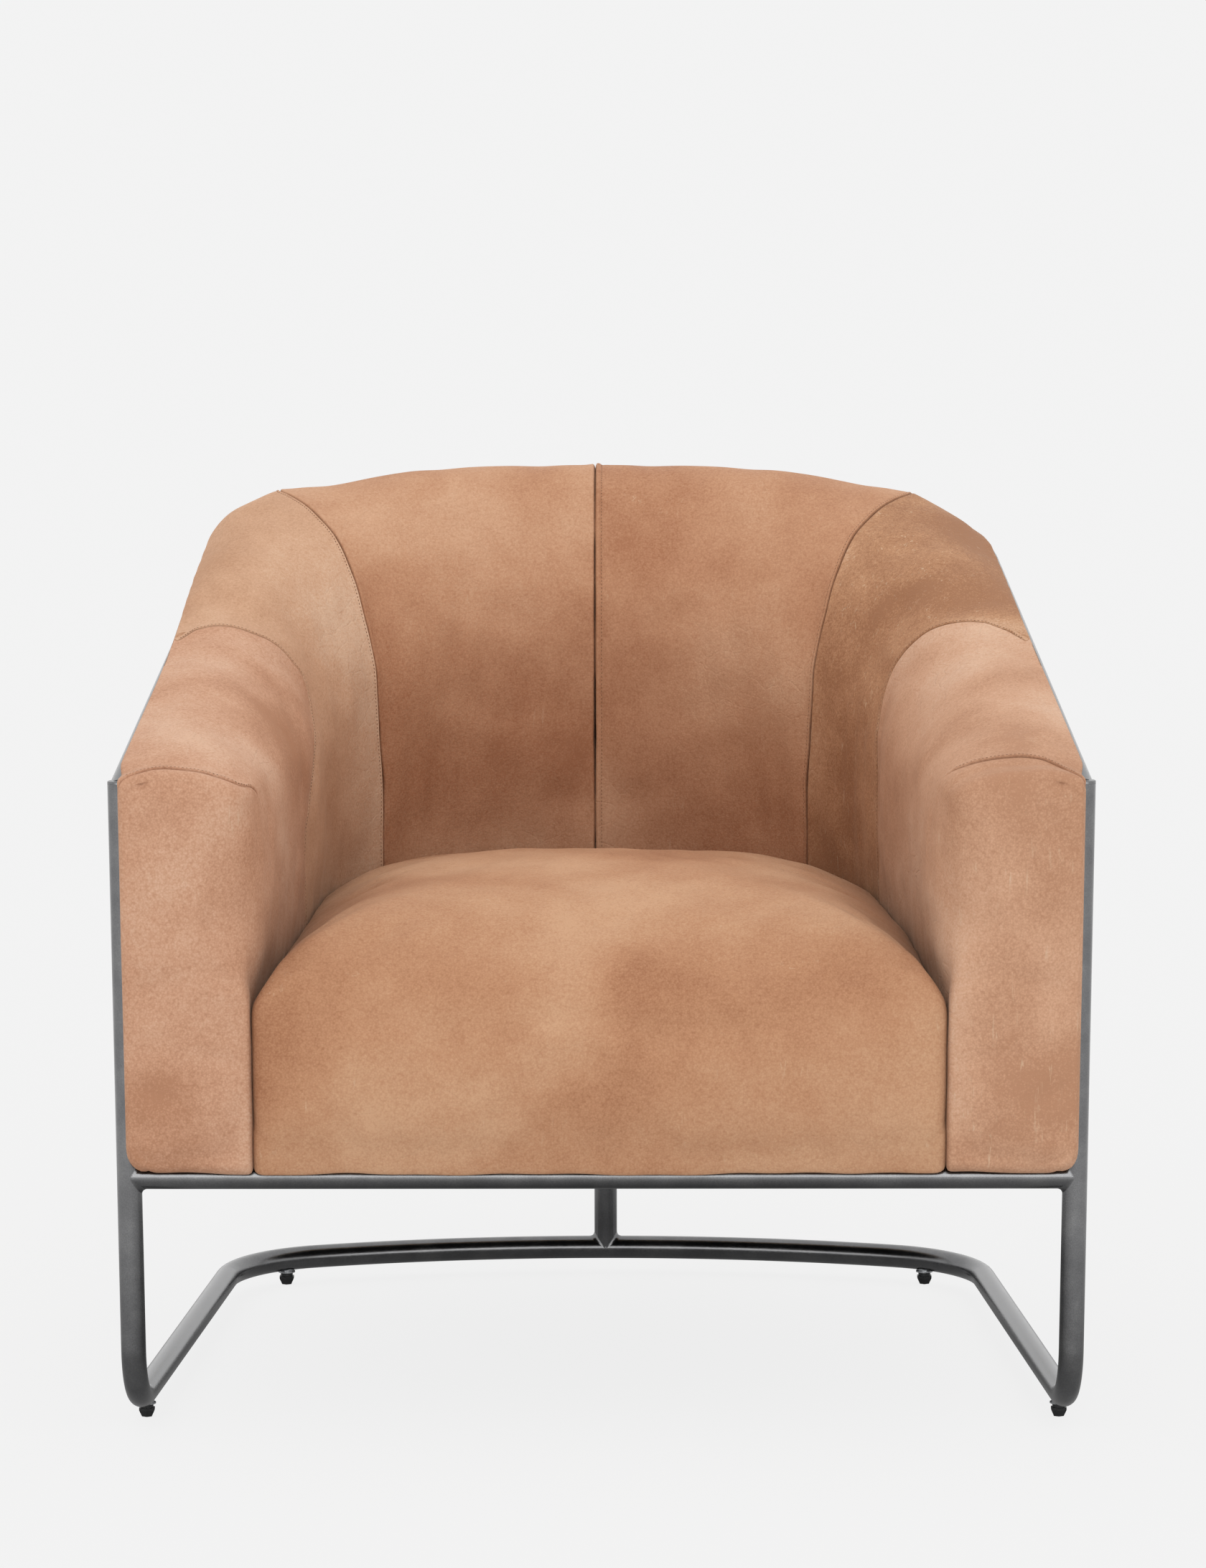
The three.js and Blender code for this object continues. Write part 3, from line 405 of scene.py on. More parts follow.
def powder_coated_steel():
    """Steel tube under a gunmetal powder coat: fine orange peel and cloudy gloss."""
    material, tree, shader = new_finish("gunmetal_powder_coated_steel", Metallic=1.0)
    place = node(tree, "TexCoord").outputs["Object"]
    clouds = node(tree, "TexNoise", {"Vector": place, "Scale": per(30), "Detail": 4, "Roughness": 0.6})
    grains = node(tree, "TexNoise", {"Vector": place, "Scale": per(1.1), "Detail": 3, "Roughness": 0.7})
    both = node(tree, "Math", {0: clouds.outputs[0], 1: grains.outputs[0]}, operation="ADD")
    mean = node(tree, "Math", {0: both.outputs[0], 1: 0.5}, operation="MULTIPLY")
    tone = node(
        tree, "ValToRGB", {"Fac": mean.outputs[0]},
        stops=[(0.34, "#626263"), (0.5, "#6f6f70"), (0.66, "#7d7d7d")],
    )
    gloss = node(
        tree, "MapRange",
        {"Value": both.outputs[0], "From Min": 0.7, "From Max": 1.3, "To Min": 0.18, "To Max": 0.27},
    )
    peel = node(tree, "Bump", {"Strength": 0.35, "Distance": 0.00012, "Height": grains.outputs[0]})
    tree.links.new(tone.outputs[0], shader.inputs["Base Color"])
    tree.links.new(gloss.outputs[0], shader.inputs["Roughness"])
    tree.links.new(peel.outputs[0], shader.inputs["Normal"])
    return material


# The hide's features as sizes in millimetres, and the shares that four of them have in its tone
CLOUD, BLOT, NAP, PEBBLE, CREASE, CREASE_WARP = 190, 38, 3.2, 1.7, 17, 26
CLOUD_SHARE, BLOT_SHARE, NAP_SHARE, PEBBLE_SHARE = 0.64, 0.13, 0.23, -0.1
TONE_MEAN, TONE_SPREAD = 0.45, 0.15
# Scratches as turn, width in millimetres, and the height of noise above which they show
SCRATCHES = ((0.5, 1.3, 0.64), (-0.9, 1.0, 0.66))
SCRATCH_STRETCH = 0.09
# How much of the painted shade in recesses is mixed into the hide's colour
PAINTED_SHADE_SHARE = 0.46
CREASE_SWAY = 0.012


def nubuck(name, tones, place_in_hide, cloud=1.0, scuffs=0.0, veins=0.3):
    """Waxed nubuck hide: cloudy dye, a fine pebble grain, rubbed spots, pale scratches, and painted shade in
    its recesses.
    """
    material, tree, shader = new_finish(
        name, Sheen_Weight=0.18, Sheen_Roughness=0.4, Sheen_Tint=linear("#e9cdb4"), Specular_IOR_Level=0.28
    )
    dark, middle, light = tones
    place = node(
        tree, "Mapping", {"Vector": node(tree, "TexCoord").outputs["Object"], "Location": place_in_hide}
    ).outputs[0]
    clouds = node(
        tree, "TexNoise",
        {"Vector": place, "Scale": per(CLOUD), "Detail": 4, "Roughness": 0.5, "Distortion": 0.3},
    )
    blots = node(
        tree, "TexNoise",
        {"Vector": place, "Scale": per(BLOT), "Detail": 6, "Roughness": 0.62, "Distortion": 0.7},
    )
    nap = node(tree, "TexNoise", {"Vector": place, "Scale": per(NAP), "Detail": 5, "Roughness": 0.72})
    pebbles = node(tree, "TexVoronoi", {"Vector": place, "Scale": per(PEBBLE), "Randomness": 1.0})
    grained = node(tree, "Math", {0: clouds.outputs[0], 1: CLOUD_SHARE}, operation="MULTIPLY")
    for height, weight in (
        (blots.outputs[0], BLOT_SHARE),
        (nap.outputs[0], NAP_SHARE),
        (pebbles.outputs["Distance"], PEBBLE_SHARE),
    ):
        grained = node(tree, "Math", {0: height, 1: weight, 2: grained.outputs[0]}, operation="MULTIPLY_ADD")
    reach = TONE_SPREAD / cloud
    spread = node(
        tree, "MapRange",
        {"Value": grained.outputs[0], "From Min": TONE_MEAN - reach, "From Max": TONE_MEAN + reach},
    )
    dye = node(
        tree, "ValToRGB", {"Fac": spread.outputs[0]}, stops=[(0.08, dark), (0.5, middle), (0.93, light)]
    )
    # Scratches: noise drawn out along two directions, of which only the peaks show.
    marks = None
    for turn, width, start in SCRATCHES:
        stretch = (1, 1, SCRATCH_STRETCH)
        drawn = node(tree, "Mapping", {"Vector": place, "Rotation": (0.2, turn, turn), "Scale": stretch})
        line = node(
            tree, "TexNoise",
            {"Vector": drawn.outputs[0], "Scale": per(width * 3), "Detail": 2, "Distortion": 1.2},
        )
        peak = node(tree, "MapRange", {"Value": line.outputs[0], "From Min": start, "From Max": start + 0.07})
        marks = peak if marks is None else node(
            tree, "Math", {0: marks.outputs[0], 1: peak.outputs[0]}, operation="MAXIMUM"
        )
    worn = node(
        tree, "MapRange", {"Value": blots.outputs[0], "From Min": 0.62 - 0.2 * scuffs, "From Max": 0.72}
    )
    scuffed = node(tree, "Math", {0: marks.outputs[0], 1: worn.outputs[0]}, operation="MULTIPLY")
    share = node(tree, "Math", {0: scuffed.outputs[0], 1: 0.35 + 0.5 * scuffs}, operation="MULTIPLY")
    skin = node(
        tree, "Mix", {0: share.outputs[0], 6: dye.outputs[0], 7: linear("#e2c6a8")}, data_type="RGBA"
    )
    # Painted shade: the hide's colour is darkened where the surface is occluded, in recesses, corners and
    # creases.
    occluded_shade = node(tree, "AmbientOcclusion", {"Color": skin.outputs[2], "Distance": 0.3}, samples=6)
    shaded_skin = node(
        tree, "Mix", {0: PAINTED_SHADE_SHARE, 6: skin.outputs[2], 7: occluded_shade.outputs["Color"]}, data_type="RGBA"
    )
    # Fine creases of the hide: the edges of warped cells.
    warp = node(tree, "TexNoise", {"Vector": place, "Scale": per(CREASE_WARP), "Detail": 3})
    bent = node(
        tree, "VectorMath", {0: warp.outputs["Color"], 1: (CREASE_SWAY,) * 3}, operation="MULTIPLY"
    )
    moved = node(tree, "VectorMath", {0: place, 1: bent.outputs[0]}, operation="ADD")
    cells = node(
        tree, "TexVoronoi", {"Vector": moved.outputs[0], "Scale": per(CREASE), "Randomness": 1.0},
        feature="DISTANCE_TO_EDGE",
    )
    creases = node(tree, "MapRange", {"Value": cells.outputs["Distance"], "From Min": 0.0, "From Max": 0.06})
    where = node(tree, "MapRange", {"Value": clouds.outputs[0], "From Min": 0.45, "From Max": 0.62})
    edges = node(tree, "Math", {0: 1.0, 1: creases.outputs[0]}, operation="SUBTRACT")
    vein = node(tree, "Math", {0: edges.outputs[0], 1: where.outputs[0]}, operation="MULTIPLY")
    gloss = node(
        tree, "MapRange",
        {"Value": blots.outputs[0], "From Min": 0.3, "From Max": 0.7, "To Min": 0.62, "To Max": 0.8},
    )
    grain = node(tree, "Bump", {"Strength": 0.5, "Distance": 0.00035, "Height": pebbles.outputs["Distance"]})
    napped = node(
        tree, "Bump",
        {"Strength": 0.4, "Distance": 0.0006, "Height": nap.outputs[0], "Normal": grain.outputs[0]},
    )
    creased = node(
        tree, "Bump",
        {"Strength": veins, "Distance": -0.0007, "Height": vein.outputs[0], "Normal": napped.outputs[0]},
    )
    tree.links.new(shaded_skin.outputs[2], shader.inputs["Base Color"])
    tree.links.new(gloss.outputs[0], shader.inputs["Roughness"])
    tree.links.new(creased.outputs[0], shader.inputs["Normal"])
    return material


def simple_finish(name, tones, size, detail=4, stretch=(1, 1, 1), bump=0.0001, strength=0.3, **sockets):
    """A material of two tones in a noise of a real size, drawn out along an axis where it has a grain."""
    material, tree, shader = new_finish(name, **sockets)
    drawn = node(tree, "Mapping", {"Vector": node(tree, "TexCoord").outputs["Object"], "Scale": stretch})
    noise = node(
        tree, "TexNoise", {"Vector": drawn.outputs[0], "Scale": per(size), "Detail": detail, "Roughness": 0.6}
    )
    tone = node(tree, "ValToRGB", {"Fac": noise.outputs[0]}, stops=[(0.35, tones[0]), (0.65, tones[1])])
    relief = node(tree, "Bump", {"Strength": strength, "Distance": bump, "Height": noise.outputs[0]})
    tree.links.new(tone.outputs[0], shader.inputs["Base Color"])
    tree.links.new(relief.outputs[0], shader.inputs["Normal"])
    return material


# Leather sections


def shoulder(width, top, bottom, roll, crown_share, lip):
    """The inner wall with its roll up to the crown, and the fall from the crown to the lip."""
    crown = width * crown_share
    turn = np.linspace(0, math.pi / 2, ROLL_STEPS)
    rise = np.stack([crown * (1 - np.cos(turn)), top - roll * (1 - np.sin(turn))], 1)
    fall = np.stack([crown + (width - crown) * np.sin(turn), lip + (top - lip) * np.cos(turn)], 1)
    return np.concatenate([[(0, bottom)], rise]), fall


def rounded_foot(out, bottom):
    turn = np.linspace(0, math.pi / 2, FOOT_STEPS)
    inset, rise = FOOT_ROUNDING * (1 - np.cos(turn)), FOOT_ROUNDING * (1 - np.sin(turn))
    return np.stack([out - inset, bottom + rise], 1)


def section_of(*lines):
    steps = (FACE, FALL, TUCK, BACK, FOOT, BASE)
    return np.concatenate([cut_evenly(line, count)[:-1] for line, count in zip(lines, steps)])


def barrel_ring(length):
    """The leather's closed section at a length along the barrel's inner plan."""
    point, normal = inner_plan.at(length)
    width = lip_plan.reach(point, normal)
    hoop = hoop_plan.reach(point, normal)
    level = hoop_level(point[1] + normal[1] * hoop)
    crown_share = along_barrel(CROWN_SHARES, length)
    top = crown_level(point[1] + normal[1] * width * crown_share)
    lip = lip_level(point[1] + normal[1] * width)
    face, fall = shoulder(width, top, SHELL_BOTTOM, along_barrel(ROLL_DEPTHS, length), crown_share, lip)
    clear = np.hypot(fall[:, 0] - hoop, fall[:, 1] - level) >= TUBE_ROOM
    fall = fall if clear.all() else fall[: max(int(np.argmin(clear)), 2)]
    offset = fall[-1] - (hoop, level)
    turn = np.linspace(math.atan2(offset[1], offset[0]), math.pi, TUCK_STEPS)
    radii = np.linspace(np.hypot(*offset), TUBE_ROOM, TUCK_STEPS)
    tuck = np.stack([hoop + radii * np.cos(turn), level + radii * np.sin(turn)], 1)
    outer = hoop - SHELL_INSET
    foot = rounded_foot(outer, SHELL_BOTTOM)
    back = [tuck[-1], (outer, level - TUBE), foot[0]]
    flat = section_of(face, fall, tuck, back, foot, [foot[-1], (0, SHELL_BOTTOM)])
    return np.column_stack([point[0] + normal[0] * flat[:, 0], point[1] + normal[1] * flat[:, 0], flat[:, 1]])


def eased(y, side):
    """How far a rounding of the arm front has drawn in at a depth."""
    inset, depth = side
    past = min(max((FRONT_FACE + depth - y) / depth, 0), 1)
    return inset * (1 - math.sqrt(1 - past * past))


def front_ring(y):
    """The arm's section at the posts: beside and behind a post, or ahead of it with the rounded front."""
    ahead = y < -POST_ROOM
    bottom = SKIRT_BOTTOM if ahead else SHELL_BOTTOM
    inner = INNER_FRONT - max(y, 0) * math.tan(inner_taper)
    width = POST_SPAN / 2 + FRONT_SPLAY - INNER_FRONT
    beside = FRONT_SPLAY if ahead else -math.sqrt(POST_ROOM**2 - y * y)
    face, fall = shoulder(width, ARM_HEIGHT, bottom, ROLL_DEPTHS[0], CROWN_SHARES[0], FRONT_LIP)

    def outer(z):
        return post_half(z) + beside - INNER_FRONT

    low = FRONT_LIP - 2 * TUBE
    foot = rounded_foot(outer(bottom + FOOT_ROUNDING), bottom)
    under = min(outer(FRONT_LIP), width)
    tuck = [fall[-1], (under, FRONT_LIP), (outer(low), low)]
    flat = section_of(face, fall, tuck, [tuck[-1], foot[0]], foot, [foot[-1], (0, bottom)])
    free_share = smoothstep(flat[:, 1], SEAT_EDGE_FRONT - FREE_BELOW, SEAT_EDGE_FRONT + FREE_ABOVE)
    x_low = eased(y, INNER_ROUND_LOW) * (1 - free_share) + eased(y, INNER_ROUND) * free_share
    x_high = eased(y, OUTER_ROUND)
    z_low, z_high = eased(y, BOTTOM_ROUND), eased(y, TOP_ROUND)
    height = ARM_HEIGHT - bottom
    x = inner + x_low + flat[:, 0] * (width - x_low - x_high) / width
    z = bottom + z_low + (flat[:, 1] - bottom) * (height - z_low - z_high) / height
    return np.column_stack([x, np.full(len(x), y), z])


def section_fill(side, top):
    """How a closed loop of columns is filled with cells: column numbers on its rim, higher numbers inside."""
    total = 2 * (side + top)
    layout = np.zeros((side + 1, top + 1), int)
    layout[:, 0] = np.arange(side + 1)
    layout[-1, :] = side + np.arange(top + 1)
    layout[::-1, -1] = side + top + np.arange(side + 1)
    layout[0, ::-1] = (2 * side + top + np.arange(top + 1)) % total
    layout[1:-1, 1:-1] = total + np.arange((side - 1) * (top - 1)).reshape(side - 1, top - 1)
    return layout


def filled(loop, layout):
    """Inner points between the four sides of a loop."""
    rim = {name: loop[layout[index]] for name, index in (
        ("left", np.s_[:, 0]), ("right", np.s_[:, -1]), ("low", np.s_[0, :]), ("high", np.s_[-1, :])
    )}
    u = np.linspace(0, 1, layout.shape[0])[:, None, None]
    v = np.linspace(0, 1, layout.shape[1])[None, :, None]
    between = (1 - v) * rim["left"][:, None] + v * rim["right"][:, None]
    between = between + (1 - u) * rim["low"][None] + u * rim["high"][None]
    corners = (1 - u) * ((1 - v) * rim["low"][0] + v * rim["low"][-1])
    corners = corners + u * ((1 - v) * rim["high"][0] + v * rim["high"][-1])
    return (between - corners)[1:-1, 1:-1].reshape(-1, 3)


def sleeve(grid, first_fill, last_fill, layout):
    """A closed form: rings of columns, and a filled end at either side."""
    rows, columns = grid.shape[:2]
    points = np.concatenate([grid.reshape(-1, 3), first_fill, last_fill])
    index = np.arange(rows * columns).reshape(rows, columns)
    beside = np.roll(index, -1, 1)
    faces = np.stack([index[:-1], beside[:-1], beside[1:], index[1:]], -1).reshape(-1, 4)
    ends = []
    for row, start in ((0, rows * columns), (rows - 1, rows * columns + len(first_fill))):
        numbers = np.where(layout < columns, row * columns + layout, start + layout - columns)
        cells = np.stack([numbers[:-1, :-1], numbers[:-1, 1:], numbers[1:, 1:], numbers[1:, :-1]], -1)
        ends.append(cells.reshape(-1, 4) if row == 0 else cells[..., ::-1].reshape(-1, 4))
    return points, np.concatenate([faces, *ends])


# Keeps a division by a length of nothing from failing
SMALL = 1e-9


def outward(grid):
    """The outward direction at each place of a grid of closed rings."""
    along = np.gradient(grid, axis=0)
    around = np.roll(grid, -1, 1) - np.roll(grid, 1, 1)
    normal = np.cross(around, along)
    normal /= np.linalg.norm(normal, axis=2, keepdims=True) + SMALL
    middle = grid.mean(axis=1, keepdims=True)
    return normal if ((grid - middle) * normal).sum() > 0 else -normal


layout = section_fill(CAP_SIDE, CAP_TOP)
column = np.arange(COLUMNS)

# Rows of cells in each panel, and in the dense barrel that they are cut from
ARM_ROWS, FRONT_ROWS, WING_ROWS, BACK_ROWS = 48, 16, 34, 50
BARREL_START, BARREL_RINGS, ARM_RINGS = 12, 230, 90
FRONT_DEPTHS = (
    8, 5, 2, -1, -4, -7, -9, -10.8, -12.5, -14, -15.5, -17, -18.3, -19.4, -20.3, -21, -21.5, -21.85,
    FRONT_FACE,
)
ring_lengths = np.linspace(BARREL_START, inner_plan.length, BARREL_RINGS)
rings = np.stack([barrel_ring(length) for length in ring_lengths])
front_rings = np.stack([front_ring(y) for y in FRONT_DEPTHS])


def per_column(places):
    return np.interp(column, *zip(*places))


def panel_grid(start, end, rows):
    """Rows of the barrel between two seams, each seam given as a length at every column."""
    lengths = start + (end - start) * np.linspace(0, 1, rows + 1)[:, None]
    places = np.interp(lengths, ring_lengths, np.arange(len(rings)))
    low = np.clip(np.floor(places).astype(int), 0, len(rings) - 2)
    share = (places - low)[..., None]
    return rings[low, column] * (1 - share) + rings[low + 1, column] * share


def arm_grid(start, arch):
    """Rows from the mid seam to the face of the arm front, with one row along the arch seam."""
    dense = np.concatenate([panel_grid(start, np.full(COLUMNS, ring_lengths[0]), ARM_RINGS), front_rings])
    grid = np.empty((ARM_ROWS + FRONT_ROWS + 1, COLUMNS, 3))
    for i in range(COLUMNS):
        line = dense[:, i]
        along = np.concatenate([[0], np.cumsum(np.linalg.norm(np.diff(line, axis=0), axis=1))])
        seam = np.interp(-arch[i], -line[:, 1], along)
        places = np.concatenate([
            np.linspace(0, seam, ARM_ROWS + 1)[:-1], np.linspace(seam, along[-1], FRONT_ROWS + 1)
        ])
        grid[:, i] = np.stack([np.interp(places, along, line[:, axis]) for axis in range(3)], 1)
    return grid


# Padding


RIPPLE_WAVES = 14
RIPPLE_SPREAD = (0.7, 1.5)
# Brings the sum of that many waves to a height of about 1
RIPPLE_DIVISOR = 3.7


def ripple(points, size, seed):
    """A smooth random height, about -1 to 1, whose waves are a size in millimetres long."""
    source = np.random.default_rng(seed)
    total = np.zeros(points.shape[:-1])
    for _ in range(RIPPLE_WAVES):
        direction = source.normal(size=3)
        direction *= source.uniform(*RIPPLE_SPREAD) * 2 * math.pi / (size * np.linalg.norm(direction))
        total += np.sin(points @ direction + source.uniform(0, 2 * math.pi))
    return total / RIPPLE_DIVISOR


def rippled(points, ripples):
    """The sum of several ripples, each given as its size, its seed and its height in millimetres."""
    return sum(height * ripple(points, size, seed) for size, seed, height in ripples)


# How the leather gives under the foam's pressure, as settings of the cloth
LEATHER_CLOTH = {
    "uniform_pressure_force": 4.0,
    "mass": 0.3,
    "quality": 5,
    "tension_stiffness": 25,
    "compression_stiffness": 25,
    "shear_stiffness": 12,
    "bending_stiffness": 1.5,
    "shrink_min": -0.012,
}
FRAMES = 20


def swollen(name, points, faces, held, most):
    """How far each point moves when air swells the form, between the places where it is held."""
    piece = piece_from(name, in_metres(points), faces)
    group = piece.vertex_groups.new(name="held")
    for weight in np.unique(np.round(held, 1)):
        if weight > 0:
            group.add([int(i) for i in np.flatnonzero(np.round(held, 1) == weight)], float(weight), "REPLACE")
    air = piece.modifiers.new("air", "CLOTH")
    air.settings.vertex_group_mass = "held"
    air.settings.use_pressure = True
    for setting, value in LEATHER_CLOTH.items():
        setattr(air.settings, setting, value)
    air.settings.effector_weights.gravity = 0
    air.collision_settings.use_collision = False
    air.point_cache.frame_start, air.point_cache.frame_end = 1, FRAMES
    scene = bpy.context.scene
    for number in range(1, FRAMES + 1):
        scene.frame_set(number)
    blown = piece.evaluated_get(bpy.context.evaluated_depsgraph_get())
    places = np.empty(len(points) * 3)
    blown.data.vertices.foreach_get("co", places)
    scene.frame_set(1)
    bpy.data.objects.remove(piece)
    moved = (places.reshape(-1, 3) - in_metres(points)) * 1000
    size = np.linalg.norm(moved, axis=1, keepdims=True) + SMALL
    return moved / size * most * np.tanh(size / most)


# How far the leather is drawn in before it swells, and the most that it then swells
SLACK = 1.2
PUFF = 6.0
# How firmly the rows at a seam are held, counted from the seam
HELD_ENDS = ((0, 1.0), (1, 0.4))
# The columns over which the leather comes free above the seat, and is held again behind the crown
FREE_COLUMNS, HELD_COLUMNS = (15, 26), (FACE + FALL - 5, FACE + FALL + 1)
# How often the swelling is evened out, because foam lets no short ripples through
CALMING = 12
# How far the arm front's face stands out at its middle
FACE_CROWN = 1.6
SOFT_RIPPLES = ((150, 5, 0.9), (50, 6, 0.4))
# The shallow creases of the inner walls, as upright waves: their stretch, size, seed and height
CREASE_STRETCH, CREASE_SIZE, CREASE_SEED, CREASE_HEIGHT = 0.16, 22, 7, 0.5
WALL_FROM, WALL_TO = (10, 22), (44, 54)
crown_end, foot_start = (FACE + FALL - 8, FACE + FALL - 1), (COLUMNS - 9, COLUMNS - 2)
in_sight = 1 - smoothstep(column, *crown_end) + smoothstep(column, *foot_start)


def bulge_of(points):
    """The arm front's own crown, fullest at its middle."""
    low, high = points.min(axis=0), points.max(axis=0)
    share = (points - low) / np.maximum(high - low, 1)
    crown = np.sqrt(np.clip(np.sin(math.pi * share[:, 0]) * np.sin(math.pi * share[:, 2]), 0, 1))
    return np.column_stack([np.zeros(len(points)), -FACE_CROWN * crown, np.zeros(len(points))])


def padding(name, grid, dart=None):
    """How the padding swells between its seams: a move for each place of the grid and of its last fill."""
    held = np.zeros(grid.shape[:2])
    for row, weight in HELD_ENDS:
        held[row] = weight
        if dart is None:
            held[-1 - row] = weight
    held = np.maximum(held, smoothstep(column, *HELD_COLUMNS)[None])
    held = np.maximum(held, 1 - smoothstep(column, *FREE_COLUMNS)[None])
    if dart is not None:
        held[ARM_ROWS] = np.maximum(held[ARM_ROWS], smoothstep(column, dart - 1, dart + 1))
    slack = -outward(grid) * SLACK * (1 - held[..., None])
    start = grid + slack
    first, last = filled(start[0], layout), filled(start[-1], layout)
    last_held = 1
    if dart is not None:
        last = last + bulge_of(last)
        last_held = 0
    points, faces = sleeve(start, first, last, layout)
    weights = np.concatenate([held.ravel(), np.ones(len(first)), np.full(len(last), last_held)])
    moved = swollen(name, points, faces, weights, PUFF)
    count = grid.shape[0] * COLUMNS
    free = moved[:count].reshape(grid.shape)
    calm = free
    for _ in range(CALMING):
        beside = (np.roll(calm, 1, 1) + np.roll(calm, -1, 1)) / 2
        along = (np.concatenate([calm[:1], calm[:-1]]) + np.concatenate([calm[1:], calm[-1:]])) / 2
        calm = calm / 2 + (beside + along) / 4
    return slack + calm * (1 - held[..., None]) + free * held[..., None], moved[count + len(first) :]


def settled(points, weight, drop):
    """Moves the upholstery as it sits: the lean, the fullness of the front and the drop of the corners."""
    x, y, z = points[..., 0], points[..., 1], points[..., 2]
    back = smoothstep(y, *LEAN_DEPTHS)
    front = (1 - smoothstep(y, *FRONT_FADE)) * (1 - smoothstep(abs(x), *POST_FADE))
    fuller = FRONT_SHIFT - FRONT_FULLNESS * np.sign(x) * smoothstep(abs(x), *FULLNESS_RISE)
    moved = points.copy()
    moved[..., 0] += weight * (front * fuller - LEAN * back)
    low = (1 - smoothstep(z, SKIRT_BOTTOM, SKIRT_BOTTOM + HEM_HEIGHT)) * (1 - smoothstep(y, -HEM_DEPTH, 0))
    moved[..., 2] += low * HEM_WAVE * ripple(points * (1, 0, 0), HEM_WAVE_SIZE, HEM_SEED)
    for depth, place, width in CORNER_DROPS:
        moved[..., 2] -= drop * depth * np.exp(-(((x - place) / width) ** 2)) * smoothstep(y, *DROP_DEPTHS)
    return moved


# The columns over which each side's lean fades out behind the crown, and over which the drop comes and goes
LEAN_ENDS = {-1: (72, 77.5), 1: (60, 75)}
DROP_FROM, DROP_TO = (44, 54), (69, 75)
along_base = smoothstep(column, COLUMNS - BASE, COLUMNS)
lean_shares = {side: 1 - smoothstep(column, *ends) + along_base for side, ends in LEAN_ENDS.items()}
drop_share = smoothstep(column, *DROP_FROM) * (1 - smoothstep(column, *DROP_TO))


def uneven(grid):
    """The soft unevenness of hand-filled padding, and the shallow upright creases of the inner walls."""
    flat = grid.reshape(-1, 3)
    soft = rippled(flat, SOFT_RIPPLES)
    upright = ripple(flat * (1, 1, CREASE_STRETCH), CREASE_SIZE, CREASE_SEED)
    wall = in_sight * smoothstep(column, *WALL_FROM) * (1 - smoothstep(column, *WALL_TO))
    rise = soft.reshape(grid.shape[:2]) * in_sight + upright.reshape(grid.shape[:2]) * wall * CREASE_HEIGHT
    return grid + outward(grid) * rise[..., None]


# Profiles of the leather beside a seam: distance from the fold and height, in millimetres
PLAIN = ((0, 0),)
FOLDED = ((0, -3.2), (0.6, -0.4), (2.0, 0.3), (4.2, 0.1))
SLOTTED = ((0, -4.0), (0.5, -3.2), (1.1, -1.2), (3.0, -0.7), (7.0, -0.2))
TOPSTITCHED = ((0, -3.0), (0.6, 0.2), (1.5, 1.0), (4.0, 0.9), (5.6, -0.8), (7.2, 0.1))
FLAT_FELLED = ((0, -2.6), (0.6, 0.2), (1.8, 0.5), (3.0, -0.5), (4.4, 0.05))
CLOSE_SEWN = ((0, -4.0), (0.5, -3.2), (1.0, 0.4), (2.0, 0.3), (3.6, 0.5), (7.0, 0.2))
# Which of a profile's places the stitches lie at
STITCH_PLACES = {TOPSTITCHED: 4, FLAT_FELLED: 3, CLOSE_SEWN: 3}
# The profiles whose fold is deep enough to stay in shade before and after a seam, and how far that reaches.
# The cells there are given painted shade.
SHADED_BEFORE, SHADED_AFTER = {CLOSE_SEWN: 0.7}, {SLOTTED: 0.3}


# A seam's stitches and painted shade show where it has more than this share of its full shape, and the
# stitches only above the seat
SEWN_SHARE = 0.4
STITCHED_FROM = 12


def seamed(grid, seams):
    """The grid cut anew between its seams, with the leather raised and drawn in beside them.

    Its stitch rows come back too, and a mask of the cells that lie deep in a fold, which are given painted
    shade.
    """
    steps = np.linalg.norm(np.diff(grid, axis=0), axis=2)
    along = np.concatenate([np.zeros((1, COLUMNS)), np.cumsum(steps, axis=0)])
    places, heights, stitches, fold_shade_mask = [], [], [], []

    def add(place, height, fold=0):
        places.append(place)
        heights.append(np.broadcast_to(height, (COLUMNS,)))
        fold_shade_mask.append(np.broadcast_to(fold, (COLUMNS,)) > SEWN_SHARE)

    for (row, _, after, shape), (end, before, _, end_shape) in zip(seams, seams[1:]):
        for i, (distance, height) in enumerate(after):
            if STITCH_PLACES.get(after) == i:
                stitches.append((len(places), shape))
            shaded = distance < SHADED_AFTER.get(after, 0)
            add(along[row] + distance, height * shape, shape if shaded else 0)
        low, high = along[row] + after[-1][0], along[end] - before[-1][0]
        for share in np.linspace(0, 1, end - row)[1:-1]:
            add(low + (high - low) * share, 0)
        for i, (distance, height) in reversed(list(enumerate(before))[1:]):
            if STITCH_PLACES.get(before) == i:
                stitches.append((len(places), end_shape))
            shaded = distance < SHADED_BEFORE.get(before, 0)
            add(along[end] - distance, height * end_shape, end_shape if shaded else 0)
    end, before, _, shape = seams[-1]
    add(along[end], before[0][1] * shape)
    places = np.stack(places)
    fine = np.empty((len(places), COLUMNS, 3))
    for i in range(COLUMNS):
        for axis in range(3):
            fine[:, i, axis] = np.interp(places[:, i], along[:, i], grid[:, i, axis])
    seen = (column > STITCHED_FROM) & (column < FACE + FALL - 2)
    rows = [fine[row][(np.broadcast_to(sewn, (COLUMNS,)) > SEWN_SHARE) & seen] for row, sewn in stitches]
    return fine + outward(fine) * np.stack(heights)[..., None], rows, np.stack(fold_shade_mask)[:-1]


